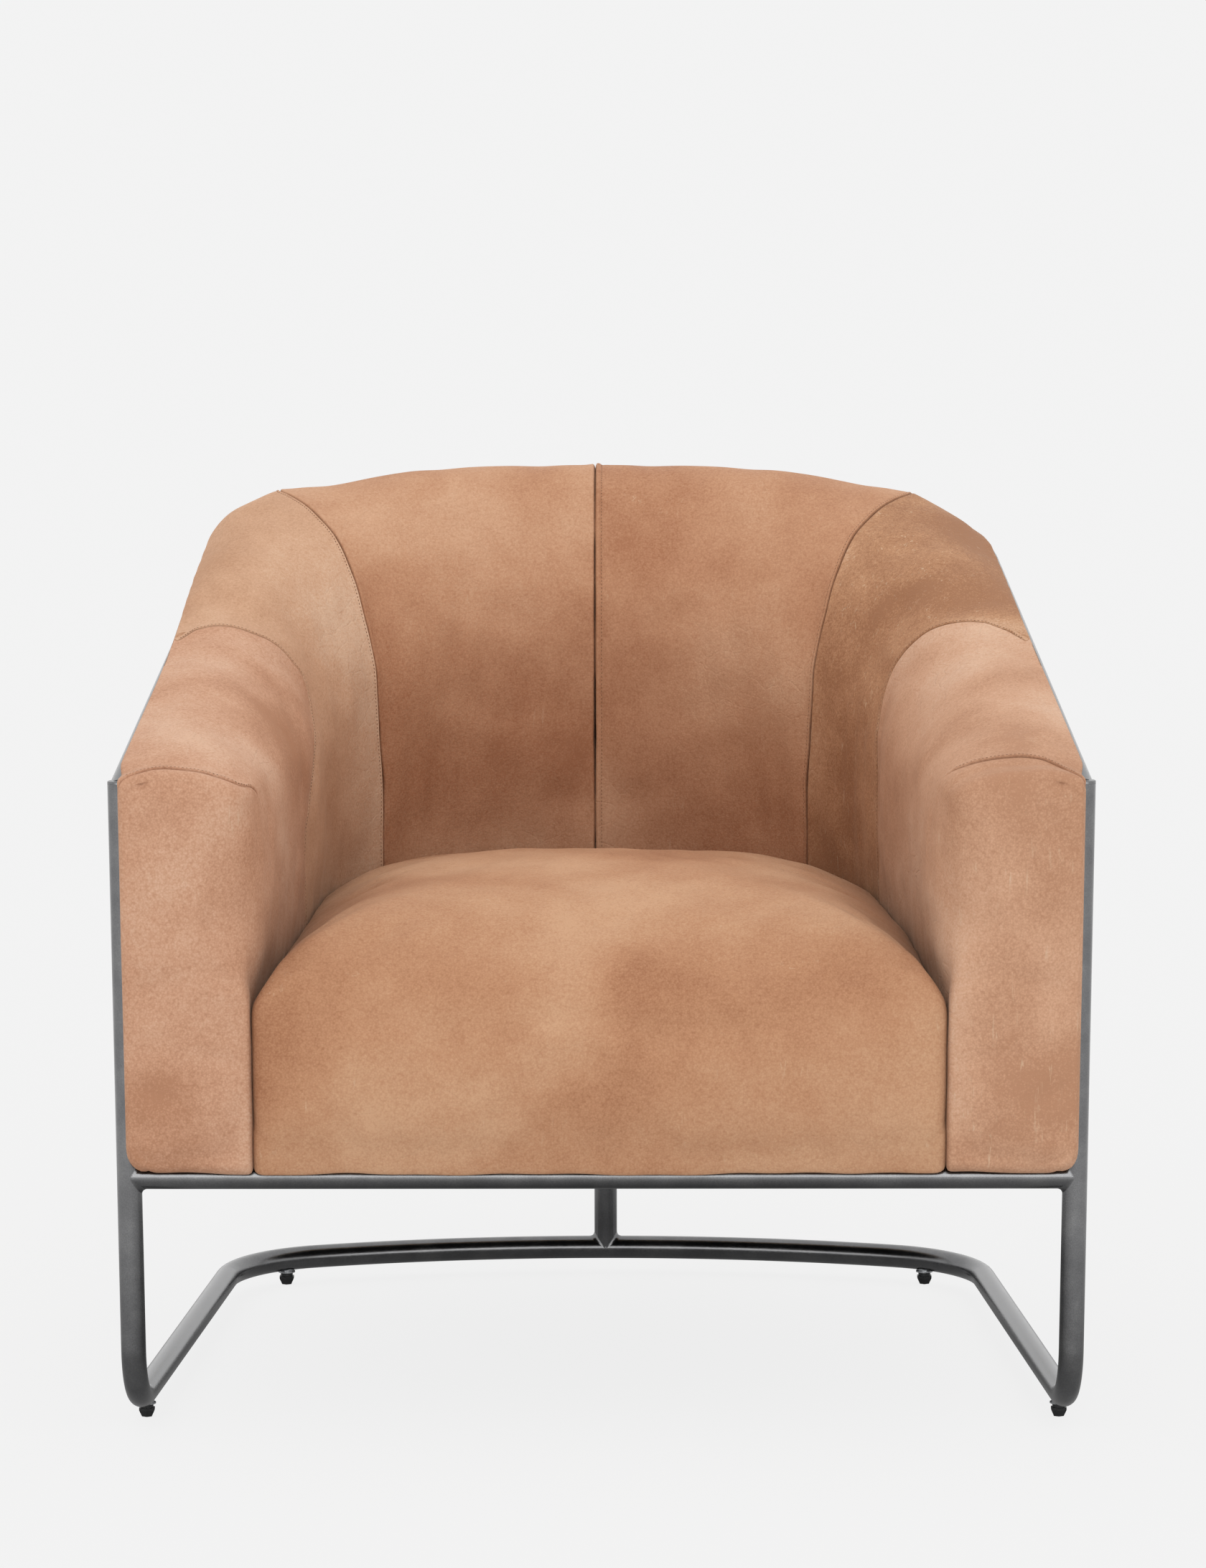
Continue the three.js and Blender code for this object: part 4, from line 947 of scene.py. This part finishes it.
def subdivided(piece):
    """The piece with its surface refined and smoothed, and no modifier left on it."""
    smooth = piece.modifiers.new("smooth", "SUBSURF")
    smooth.levels = smooth.render_levels = 1
    mesh = bpy.data.meshes.new_from_object(piece.evaluated_get(bpy.context.evaluated_depsgraph_get()))
    piece.modifiers.clear()
    piece.data = mesh
    mesh.shade_smooth()
    return piece


def upholstered(name, points, faces, finish, nodes, fold_shade_mask=None):
    """One padded leather piece in place of its CAD solids, with painted shade, a darker material, on the
    cells deep in a fold.
    """
    piece = piece_from(name, in_metres(points), faces, 180)
    piece.data.materials.append(finish)
    if fold_shade_mask is not None:
        piece.data.materials.append(painted_fold_shade)
        dark = np.zeros(len(faces), int)
        dark[: fold_shade_mask.size] = fold_shade_mask.ravel()
        piece.data.polygons.foreach_set("material_index", dark)
    piece = subdivided(piece)
    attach(piece, "chair")
    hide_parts(*nodes)
    return piece


# Stitches, in millimetres: their length and the gap between them, the thread's radius, how deep a stitch lies
# and how much deeper its ends go, and the steps that it is drawn in
STITCH_LENGTH, STITCH_GAP, THREAD_RADIUS, THREAD_SIDES = 2.2, 0.9, 0.42, 6
STITCH_SINK, STITCH_DIP, STITCH_STEP = 0.15, 0.7, 0.8


def stitched(name, piece, path):
    """A row of stitches that lies on a piece along a path."""
    tree = BVHTree.FromObject(piece, bpy.context.evaluated_depsgraph_get())
    total = np.linalg.norm(np.diff(path, axis=0), axis=1).sum()
    line = cut_evenly(path, int(total / STITCH_STEP))
    stride = int(round((STITCH_LENGTH + STITCH_GAP) / STITCH_STEP))
    span = int(round(STITCH_LENGTH / STITCH_STEP))
    depths = [STITCH_SINK + STITCH_DIP, *[STITCH_SINK] * (span - 1), STITCH_SINK + STITCH_DIP]
    parts = []
    for start in range(0, len(line) - span, stride):
        spots = []
        for place, depth in zip(line[start : start + span + 1], depths):
            spot, normal = tree.find_nearest(Vector(in_metres(place)))[:2]
            spots.append((np.array(spot) - (0, POST_LINE, 0)) * 1000 - np.array(normal) * depth)
        parts.append(swept(spots, THREAD_RADIUS, THREAD_SIDES))
    rows = piece_from(name, *[part if i else in_metres(part) for i, part in enumerate(joined(parts))])
    rows.data.materials.append(thread)
    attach(rows, "chair")
    return rows


ARM = ("#bb8767", "#d2a081", "#e3b99c")
LIGHT_ARM = ("#bf8d6d", "#d7a787", "#e6bea1")
PALE = ("#c29270", "#d8ab8a", "#e8c4a6")
DEEP = ("#a87654", "#c6946f", "#e2b896")
SEAT_TONES = ("#aa7452", "#c4906c", "#d6a884")
WARM = ("#b27a58", "#ca9673", "#dcae8c")
hides = {
    "left_arm": nubuck("tan_nubuck_left_arm", ARM, (0.3, 0.1, 0.7), cloud=1.3, scuffs=0.3, veins=0.4),
    "right_arm": nubuck("tan_nubuck_right_arm", LIGHT_ARM, (1.9, 0.6, 0.2), cloud=1.1, scuffs=0.7, veins=0.5),
    "left_wing": nubuck("tan_nubuck_left_wing", PALE, (3.1, 2.2, 0.4), scuffs=0.3),
    "right_wing": nubuck("tan_nubuck_right_wing", DEEP, (5.2, 0.3, 1.4), cloud=1.2, scuffs=1.0, veins=0.6),
    "left_back": nubuck("tan_nubuck_left_back", WARM, (7.7, 1.2, 2.5), scuffs=0.2),
    "right_back": nubuck("tan_nubuck_right_back", WARM, (9.4, 4.1, 1.8), scuffs=0.4),
    "seat": nubuck("tan_nubuck_seat", SEAT_TONES, (4.1, 8.2, 0.6), cloud=1.0, scuffs=0.3),
}

# Painted shade: a dark brown material on the cells that lie deep in a seam's fold
painted_fold_shade = simple_finish("nubuck_painted_fold_shade", ("#4a2f20", "#5f3f2c"), 3, Roughness=0.9)

thread = simple_finish("bonded_thread", ("#6f4b33", "#875f42"), 0.8, Roughness=0.7)
SIDES = (("left", -1), ("right", 1))
# Over how many columns, from before its end to past it, a dart grows into the arch seam
DART_BEFORE, DART_PAST = 0.5, 3
corner_line = per_column(CORNER_SEAM)
middle = np.full(COLUMNS, inner_plan.length)
half_gap = SEAM_GAP / 2


def wing_grid(mid):
    return panel_grid(mid + half_gap, corner_line - half_gap, WING_ROWS)


def back_grid():
    return panel_grid(corner_line + half_gap, middle - half_gap, BACK_ROWS)


def seams_of(panel, side):
    """A panel's seams as row, profile before and after, and share of the full shape at each column."""
    if panel == "arm":
        dart = DARTS[side]
        over = smoothstep(column, dart - DART_BEFORE, dart + DART_PAST) * (column < FACE + FALL + 1)
        arch_seam = (ARM_ROWS, CLOSE_SEWN, SLOTTED, over)
        return [(0, PLAIN, FOLDED, 0.7), arch_seam, (ARM_ROWS + FRONT_ROWS, PLAIN, PLAIN, 0)]
    if panel == "wing":
        return [(0, PLAIN, CLOSE_SEWN, 0.8), (WING_ROWS, FLAT_FELLED if side < 0 else FOLDED, PLAIN, 1)]
    corner, centre = (FOLDED, FOLDED) if side < 0 else (FLAT_FELLED, TOPSTITCHED)
    return [(0, PLAIN, corner, 1), (BACK_ROWS, centre, PLAIN, 1)]


# The swelling is worked out once for both sides, between the means of their seams.
mean_mid = sum(per_column(places) for places in MID_SEAMS.values()) / 2
mean_arch = sum(per_column(places) for places in ARCHES.values()) / 2
arm_swell, face_swell = padding("arm", arm_grid(mean_mid - half_gap, mean_arch), sum(DARTS.values()) // 2)
wing_swell, _ = padding("wing", wing_grid(mean_mid))
back_swell, _ = padding("back", back_grid())
for name, side in SIDES:
    mid, arch = per_column(MID_SEAMS[side]), per_column(ARCHES[side])
    panels = (
        ("arm", arm_grid(mid - half_gap, arch), arm_swell, 0.8, ("arm_pad", "arm_front")),
        ("wing", wing_grid(mid), wing_swell, 0.75, ("wing_pad",)),
        ("back", back_grid(), back_swell, 0.7, ("back_pad",)),
    )
    for panel, grid, swell, fill, pads in panels:
        grid = settled(uneven(grid + swell) * (side, 1, 1), lean_shares[side], drop_share)
        grid, stitch_rows, fold_shade_mask = seamed(grid, seams_of(panel, side))
        last = filled(grid[-1], layout)
        if panel == "arm":
            last = last + bulge_of(last) + face_swell * (side, 1, 1)
        points, faces = sleeve(grid, filled(grid[0], layout), last, layout)
        replaced = [f"{name}_{pad}" for pad in pads]
        leather, hide = f"{name}_{panel}_leather", hides[f"{name}_{panel}"]
        piece = upholstered(leather, points, faces, hide, replaced, fold_shade_mask)
        for number, path in enumerate(stitch_rows):
            stitched(f"{name}_{panel}_stitches_{number + 1}", piece, path)

# Seat

SEAT_ALONG, SEAT_ACROSS = 84, 88
seat_plan = inner_plan.inset(PAD_GAP)
seat_layout = section_fill(SEAT_ALONG, SEAT_ACROSS)
SEAT_MIDDLE = np.array([0, INNER_DEPTH / 2 - SEAT_FRONT])
SEAT_LENGTH = INNER_DEPTH + SEAT_FRONT


# Points of the seat's outline in half a front corner, along a side, on to the corner seam and round the rear
CORNER_POINTS, RUN_POINTS, TURN_POINTS, REAR_POINTS = 6, 40, 16, 50


def seat_outline():
    """The seat's plan from the middle of its right front corner, back and round to the same place."""
    start = SEAT_CORNER - SEAT_FRONT
    x = seat_plan.at(start)[0][0] - SEAT_CORNER

    def corner(low, high):
        turns = np.linspace(low, high, CORNER_POINTS)
        return [(x + SEAT_CORNER * math.sin(t), -SEAT_FRONT + SEAT_CORNER * (1 - math.cos(t))) for t in turns]

    run = [seat_plan.at(length)[0] for length in np.linspace(start, seat_plan.run, RUN_POINTS)[1:]]
    turned = [seat_plan.round(a)[0] for a in np.linspace(seat_plan.taper, CORNER_SEAM_ANGLE, TURN_POINTS)[1:]]
    side = np.array([*corner(math.pi / 4, math.pi / 2), *run, *turned])
    rear = np.array([seat_plan.round(a)[0] for a in np.linspace(CORNER_SEAM_ANGLE, math.pi / 2, REAR_POINTS)])
    rear = np.concatenate([rear, rear[::-1][1:] * (-1, 1)])
    near = corner(0, math.pi / 4)
    front = np.array([*[(-a, b) for a, b in near[::-1]], *near])
    parts = (side, SEAT_ALONG), (rear, SEAT_ACROSS), (side[::-1] * (-1, 1), SEAT_ALONG), (front, SEAT_ACROSS)
    return np.concatenate([cut_evenly(line, steps)[:-1] for line, steps in parts])


rim = seat_outline()
rim_angles = np.unwrap(np.arctan2(*(rim - SEAT_MIDDLE).T[::-1]))
rim_reach = np.linalg.norm(rim - SEAT_MIDDLE, axis=1)
# How far each place of the rim counts as front: 1 along the skirt, 0 along the sides and the rear
ahead = 1 - smoothstep(rim[:, 1], -SEAT_FRONT, SEAT_CORNER - SEAT_FRONT)


def seat_height(flat, share):
    """The dome over a place of the seat's plan, where share is 1 at the rim and 0 at the middle."""
    past = np.clip((flat[:, 1] + SEAT_FRONT) / SEAT_LENGTH, 0, 1)
    edge = SEAT_EDGE_FRONT + (SEAT_EDGE_REAR - SEAT_EDGE_FRONT) * past**SEAT_EDGE_POWER
    behind = np.clip((flat[:, 1] - SEAT_CROWN_PLACE) / (INNER_DEPTH - SEAT_CROWN_PLACE), 0, None)
    crown = SEAT_CROWN - SEAT_FALL * behind**FALL_POWER
    return edge + (crown - edge) * np.sqrt(np.clip(1 - share**DOME_POWER, 0, 1))


def seat_form():
    """The seat's rings from its hidden foot to the edge of the dome, and the fills under and over them."""
    edge = seat_height(rim, np.ones(len(rim)))
    centre_line = rim - SEAT_MIDDLE
    inward = -centre_line / np.linalg.norm(centre_line, axis=1, keepdims=True)
    inward[ahead > 0.5] = (0, 1)
    floor = SHELL_BOTTOM + SEAT_FOOT_GAP + (SKIRT_BOTTOM - SHELL_BOTTOM - SEAT_FOOT_GAP) * ahead
    rings = []
    for inset, lift in SEAT_FOOT_RINGS:
        z = floor + lift if lift is not None else np.full(len(rim), SHELL_BOTTOM + SEAT_FOOT_GAP)
        rings.append(np.column_stack([rim + inward * inset, z]))
    for level in np.linspace(1 / SEAT_SIDE_RINGS, 1, SEAT_SIDE_RINGS):
        belly = SEAT_BELLY * ahead * math.sin(math.pi * level)
        flat = rim - np.column_stack([np.zeros(len(rim)), belly])
        rings.append(np.column_stack([flat, floor + (edge - floor) * level]))
    for share in DOME_RING_SHARES:
        flat = SEAT_MIDDLE + (rim - SEAT_MIDDLE) * share
        rings.append(np.column_stack([flat, seat_height(flat, np.full(len(rim), share))]))
    grid = np.stack(rings)
    top = filled(grid[-1], seat_layout)
    offset = top[:, :2] - SEAT_MIDDLE
    angles = np.arctan2(offset[:, 1], offset[:, 0])
    order = np.argsort(np.mod(rim_angles, 2 * math.pi))
    around = np.mod(rim_angles, 2 * math.pi)[order]
    reach = np.interp(np.mod(angles, 2 * math.pi), around, rim_reach[order], period=2 * math.pi)
    top[:, 2] = seat_height(top[:, :2], np.linalg.norm(offset, axis=1) / reach)
    return grid, filled(grid[0], seat_layout), top


# Which way the seat's unevenness moves its leather: up, and a little forward
SEAT_RIPPLE_WAY = (0, -0.3, 1)
seat_grid, seat_under, seat_top = seat_form()
ring_number = np.arange(len(seat_grid))[:, None]
free_ahead = smoothstep(ring_number, *FRONT_FREE_RINGS) * ahead
held = 1 - free_ahead - smoothstep(ring_number, *OTHER_FREE_RINGS) * (1 - ahead)
points, faces = sleeve(seat_grid, seat_under, seat_top, seat_layout)
held = np.concatenate([np.clip(held, 0, 1).ravel(), np.ones(len(seat_under)), np.zeros(len(seat_top))])
points = points + swollen("seat", points, faces, held, SEAT_SWELL)
soft = rippled(points, SEAT_RIPPLES) * smoothstep(points[:, 2], *RIPPLED_HEIGHTS)
points = settled(points + np.outer(soft, SEAT_RIPPLE_WAY), 1, 0)
upholstered("seat_leather", points, faces, hides["seat"], ["seat_pad"])

# Steel frame


ARC_POINTS, BEND_POINTS, LEG_POINTS, HOOP_POINTS, RAIL_POINTS = 40, 25, 6, 12, 8
# How far short of the other rod's centre line a rod ends that is buried in it
ROD_SHORT = 2
CAP_EDGE = 0.5


def straight_line(start, end, count):
    start, end = np.array(start, float), np.array(end, float)
    return [start + (end - start) * share for share in np.linspace(0, 1, count)]


def arc_line(plan, level):
    """The centre line round a plan's corner and rear, from its right side to its left one."""
    half = [plan.at(length)[0] for length in np.linspace(plan.run, plan.length, ARC_POINTS)]
    half = [np.array([x, y, level(y)]) for x, y in half]
    return half + [point * (-1, 1, 1) for point in half[::-1][1:]]


def bent_leg(side):
    """A post's centre line from its top, round the floor bend and back along the floor."""
    top = np.array([side * post_half(POST_TOP - CAP_THICKNESS), 0, POST_TOP - CAP_THICKNESS])
    corner = np.array([side * post_half(BASE_LEVEL), 0, BASE_LEVEL])
    end_x, end_y = base_plan.at(base_plan.run)[0]
    end = np.array([side * end_x, end_y, BASE_LEVEL])
    into = (corner - top) / np.linalg.norm(corner - top)
    away = (end - corner) / np.linalg.norm(end - corner)
    turn = math.acos(float(into @ away))
    back_off = FLOOR_BEND * math.tan(turn / 2)
    axis = np.cross(into, away)
    axis /= np.linalg.norm(axis)
    start = corner - into * back_off
    centre = start + np.cross(axis, into) * FLOOR_BEND
    arm = start - centre
    beside = np.cross(axis, arm)
    turns = np.linspace(0, turn, BEND_POINTS)
    bend = [centre + arm * math.cos(t) + beside * math.sin(t) for t in turns]
    down, along = straight_line(top, start, LEG_POINTS), straight_line(bend[-1], end, LEG_POINTS)
    return [*down[:-1], *bend, *along[1:]]


def coated(piece):
    """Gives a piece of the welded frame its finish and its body."""
    piece.data.materials.append(gunmetal)
    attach(piece, "chair")


def steel(name, points, replaced, radius=TUBE):
    """A round rod of the frame along its centre line, in place of a CAD solid."""
    made, faces = swept(points, radius)
    piece = piece_from(name, in_metres(made), faces)
    coated(piece)
    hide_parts(replaced)


# Welds, in millimetres: how far they reach along each rod, the share of that which is left where the rods lie
# side by side, and how far their edges are sunk in
WELD_LEG, WELD_SIDE_SHARE, WELD_SINK = 5.0, 0.2, 0.05
WELD_CORE_SHARE = 0.8
WELD_POINTS, WELD_RINGS, WELD_ANGLE = 64, 7, 100


def fillet(name, centre, rod, through):
    """The weld in the corner where a rod meets another of its size, hollow and tangent to both.

    Rod and through are the unit directions of the two, the first of them away from the joint.
    """
    turns = np.linspace(0, 2 * math.pi, WELD_POINTS, endpoint=False)
    rise, side = np.cos(turns), np.sin(turns)
    leg = WELD_LEG * (WELD_SIDE_SHARE + (1 - WELD_SIDE_SHARE) * abs(rise))
    beyond = np.arcsin(abs(side)) + leg / TUBE * abs(side)
    rod, through = np.array(rod, float), np.array(through, float)
    sideways = np.cross(rod, through)

    def placed(along_rod, along_through, across):
        return np.outer(along_rod, rod) + np.outer(along_through, through) + np.outer(across, sideways)

    corner = placed(TUBE * abs(rise), TUBE * rise, TUBE * side)
    sunk = TUBE - WELD_SINK
    on_rod = placed(TUBE * abs(rise) + leg, sunk * rise, sunk * side)
    on_through = placed(sunk * np.cos(beyond), (TUBE + leg) * rise, sunk * np.sign(side) * np.sin(beyond))
    loops = [
        (1 - u) ** 2 * on_rod + 2 * u * (1 - u) * corner + u**2 * on_through
        for u in np.linspace(0, 1, WELD_RINGS)
    ]
    points = np.stack([*loops, corner * WELD_CORE_SHARE], 1)
    index = np.arange(points.shape[0] * points.shape[1]).reshape(points.shape[:2])
    beside, above = np.roll(index, -1, 1), np.roll(index, -1, 0)
    faces = np.stack([index, beside, np.roll(above, -1, 1), above], -1).reshape(-1, 4)
    coated(piece_from(name, in_metres(points.reshape(-1, 3) + centre), faces, WELD_ANGLE))


gunmetal = powder_coated_steel()
hoop_x, hoop_y = hoop_plan.at(hoop_plan.run)[0]
cap_levels = (POST_TOP - CAP_THICKNESS, POST_TOP - CAP_EDGE, POST_TOP)
cap_radii = np.array([TUBE, TUBE, TUBE - CAP_EDGE])
for name, side in SIDES:
    steel(f"{name}_leg_bent_tube", bent_leg(side), f"{name}_leg_tube")
    hoop_start = (side * POST_SPAN / 2, ROD_SHORT, hoop_level(ROD_SHORT))
    hoop_line = straight_line(hoop_start, (side * hoop_x, hoop_y, hoop_level(hoop_y)), HOOP_POINTS)
    steel(f"{name}_arm_hoop", hoop_line, f"{name}_hoop_tube")
    cap = [(side * post_half(POST_TOP), 0, z) for z in cap_levels]
    steel(f"{name}_post_end_cap", cap, f"{name}_post_cap", cap_radii)
    post = post_half(RAIL_LEVEL)
    fillet(f"{name}_rail_weld", (side * post, 0, RAIL_LEVEL), (-side, 0, 0), (0, 0, 1))
steel("rear_base_bent_tube", arc_line(base_plan, lambda y: BASE_LEVEL), "rear_base_tube")
steel("rear_hoop_bent_tube", arc_line(hoop_plan, hoop_level), "rear_hoop_tube")
rail_end = post_half(RAIL_LEVEL) - ROD_SHORT
rail_line = straight_line((-rail_end, 0, RAIL_LEVEL), (rail_end, 0, RAIL_LEVEL), RAIL_POINTS)
steel("front_rail_round_tube", rail_line, "front_rail_tube")
head_level = hoop_level(FRAME_DEPTH)
upright_low, upright_high = BASE_LEVEL + ROD_SHORT, head_level - ROD_SHORT
upright_line = straight_line((0, FRAME_DEPTH, upright_low), (0, FRAME_DEPTH, upright_high), LEG_POINTS)
steel("rear_upright_tube", upright_line, "rear_post_tube")
for name, level, way in (("rear_foot_weld", BASE_LEVEL, 1), ("rear_head_weld", head_level, -1)):
    fillet(name, (0, FRAME_DEPTH, level), (0, 0, way), (1, 0, 0))


# Finishes of the carried-over parts


zinc = simple_finish("zinc_plated_steel_turned", ("#a3a5a8", "#bcbec0"), 2.5, Metallic=1.0, Roughness=0.32)
nylon = simple_finish("black_nylon_moulded", ("#131416", "#1f2022"), 1.2, Roughness=0.42)
beech = simple_finish("beech_planed", ("#b98d5f", "#d6b184"), 9, stretch=(0.12, 1, 1), Roughness=0.6)
birch = simple_finish("birch_plywood_sawn", ("#c3a272", "#e0c799"), 3, stretch=(0.2, 0.2, 1), Roughness=0.65)
webbing = simple_finish("jute_webbing_woven", ("#6f675c", "#9b9184"), 2.4, bump=0.0005, Roughness=0.9)
cambric = simple_finish("black_cambric_woven", ("#141416", "#232325"), 1.0, bump=0.0003, Roughness=0.95)
MADE_OF = (
    ("bracket", gunmetal), ("screw", zinc), ("insert", zinc), ("stud", zinc), ("foot", nylon),
    ("strap", webbing), ("seat_rail", beech), ("side_rail", beech), ("panel", birch), ("dust_cover", cambric),
)
for name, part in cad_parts.items():
    for word, finish in MADE_OF:
        if word in name:
            part.data.materials.clear()
            part.data.materials.append(finish)

# Floor and light

FLOOR_REACH = 90
PAPER_TONE = linear("#f3f3f3")
# The share of the paper's own colour that the camera sees in place of the shaded one
SHADOW_LIFT = 0.93
floor_mesh = bpy.data.meshes.new("studio_floor")
floor_corners = [(x * FLOOR_REACH, y * FLOOR_REACH, 0) for x, y in ((-1, -1), (1, -1), (1, 1), (-1, 1))]
floor_mesh.from_pydata(floor_corners, [], [(0, 1, 2, 3)])
floor = bpy.data.objects.new("studio_floor", floor_mesh)
bpy.context.scene.collection.objects.link(floor)
paper, tree, shader = new_finish(
    "pale_paper_floor", Base_Color=PAPER_TONE, Roughness=0.95, Specular_IOR_Level=0.1
)
# Mirror rays see the paper glow as painted shade and light, dark near the chair and bright far from it; the
# steel reflects this.
rays = node(tree, "LightPath")
is_camera, is_mirror = rays.outputs["Is Camera Ray"], rays.outputs["Is Glossy Ray"]
seen = node(tree, "Math", {0: is_camera, 1: is_mirror}, operation="MAXIMUM")
far = node(tree, "VectorMath", {0: node(tree, "TexCoord").outputs["Object"]}, operation="LENGTH")
level = node(
    tree, "MapRange",
    {"Value": far.outputs["Value"], "From Min": 0.3, "From Max": 1.3, "To Min": 0.18, "To Max": 1.15},
)
tone = node(tree, "Mix", {0: is_mirror, 6: PAPER_TONE, 7: level.outputs[0]}, data_type="RGBA")
even = node(tree, "Emission", {"Color": tone.outputs[2]})
share = node(tree, "Math", {0: seen.outputs[0], 1: SHADOW_LIFT}, operation="MULTIPLY")
paper_out = node(tree, "MixShader", {0: share.outputs[0], 1: shader.outputs[0], 2: even.outputs[0]})
tree.links.new(paper_out.outputs[0], tree.nodes["Material Output"].inputs["Surface"])
floor_mesh.materials.append(paper)

world = bpy.data.worlds.new("studio")
bpy.context.scene.world = world
world.use_nodes = True
sky = world.node_tree
sky.nodes.clear()
way = node(sky, "SeparateXYZ", {0: node(sky, "TexCoord").outputs["Generated"]})
shade = node(
    sky, "ValToRGB", {"Fac": way.outputs["Z"]}, stops=[(0.0, 0.3), (0.5, 0.6), (0.85, 1.05), (1.0, 1.15)]
)
# Mirror rays alone see a painted reflection: a large soft lamp above the camera, with pale walls beside and
# behind the chair.
reflected_lamp_front = node(
    sky, "MapRange",
    {"Value": way.outputs["Z"], "From Min": 0.0, "From Max": 0.1, "To Min": 1.2, "To Max": 2.6},
)
faced = node(
    sky, "MapRange",
    {"Value": way.outputs["Y"], "From Min": -0.9, "From Max": -0.5, "To Min": 1.0, "To Max": 0.4},
)
overhead = node(sky, "Math", {0: reflected_lamp_front.outputs[0], 1: faced.outputs[0]}, operation="MULTIPLY")
beside = node(sky, "Math", {0: way.outputs["X"]}, operation="ABSOLUTE")
walls = node(sky, "MapRange", {"Value": beside.outputs[0], "From Min": 0.1, "From Max": 0.8, "To Max": 1.1})
behind = node(sky, "MapRange", {"Value": way.outputs["Y"], "From Min": -0.2, "From Max": 0.4, "To Max": 1.05})
pale = node(sky, "Math", {0: walls.outputs[0], 1: behind.outputs[0]}, operation="MAXIMUM")
mirrored = node(sky, "Math", {0: overhead.outputs[0], 1: pale.outputs[0]}, operation="MAXIMUM")
is_mirror = node(sky, "LightPath").outputs["Is Glossy Ray"]
mixed = node(sky, "Mix", {0: is_mirror, 6: shade.outputs[0], 7: mirrored.outputs[0]}, data_type="RGBA")
glow = node(sky, "Background", {"Color": mixed.outputs[2], "Strength": 1.0})
node(sky, "OutputWorld", {"Surface": glow.outputs[0]})

# One large soft key light from the front
KEY_TILT, KEY_TURN, KEY_WIDTH, KEY_POWER = 54, 3, 70, 0.64
key = bpy.data.lights.new("key", "SUN")
key.energy = KEY_POWER
key.angle = math.radians(KEY_WIDTH)
key_holder = bpy.data.objects.new("key", key)
key_holder.rotation_euler = (math.radians(KEY_TILT), 0, math.radians(KEY_TURN))
bpy.context.scene.collection.objects.link(key_holder)

bpy.context.scene.view_settings.view_transform = "Standard"
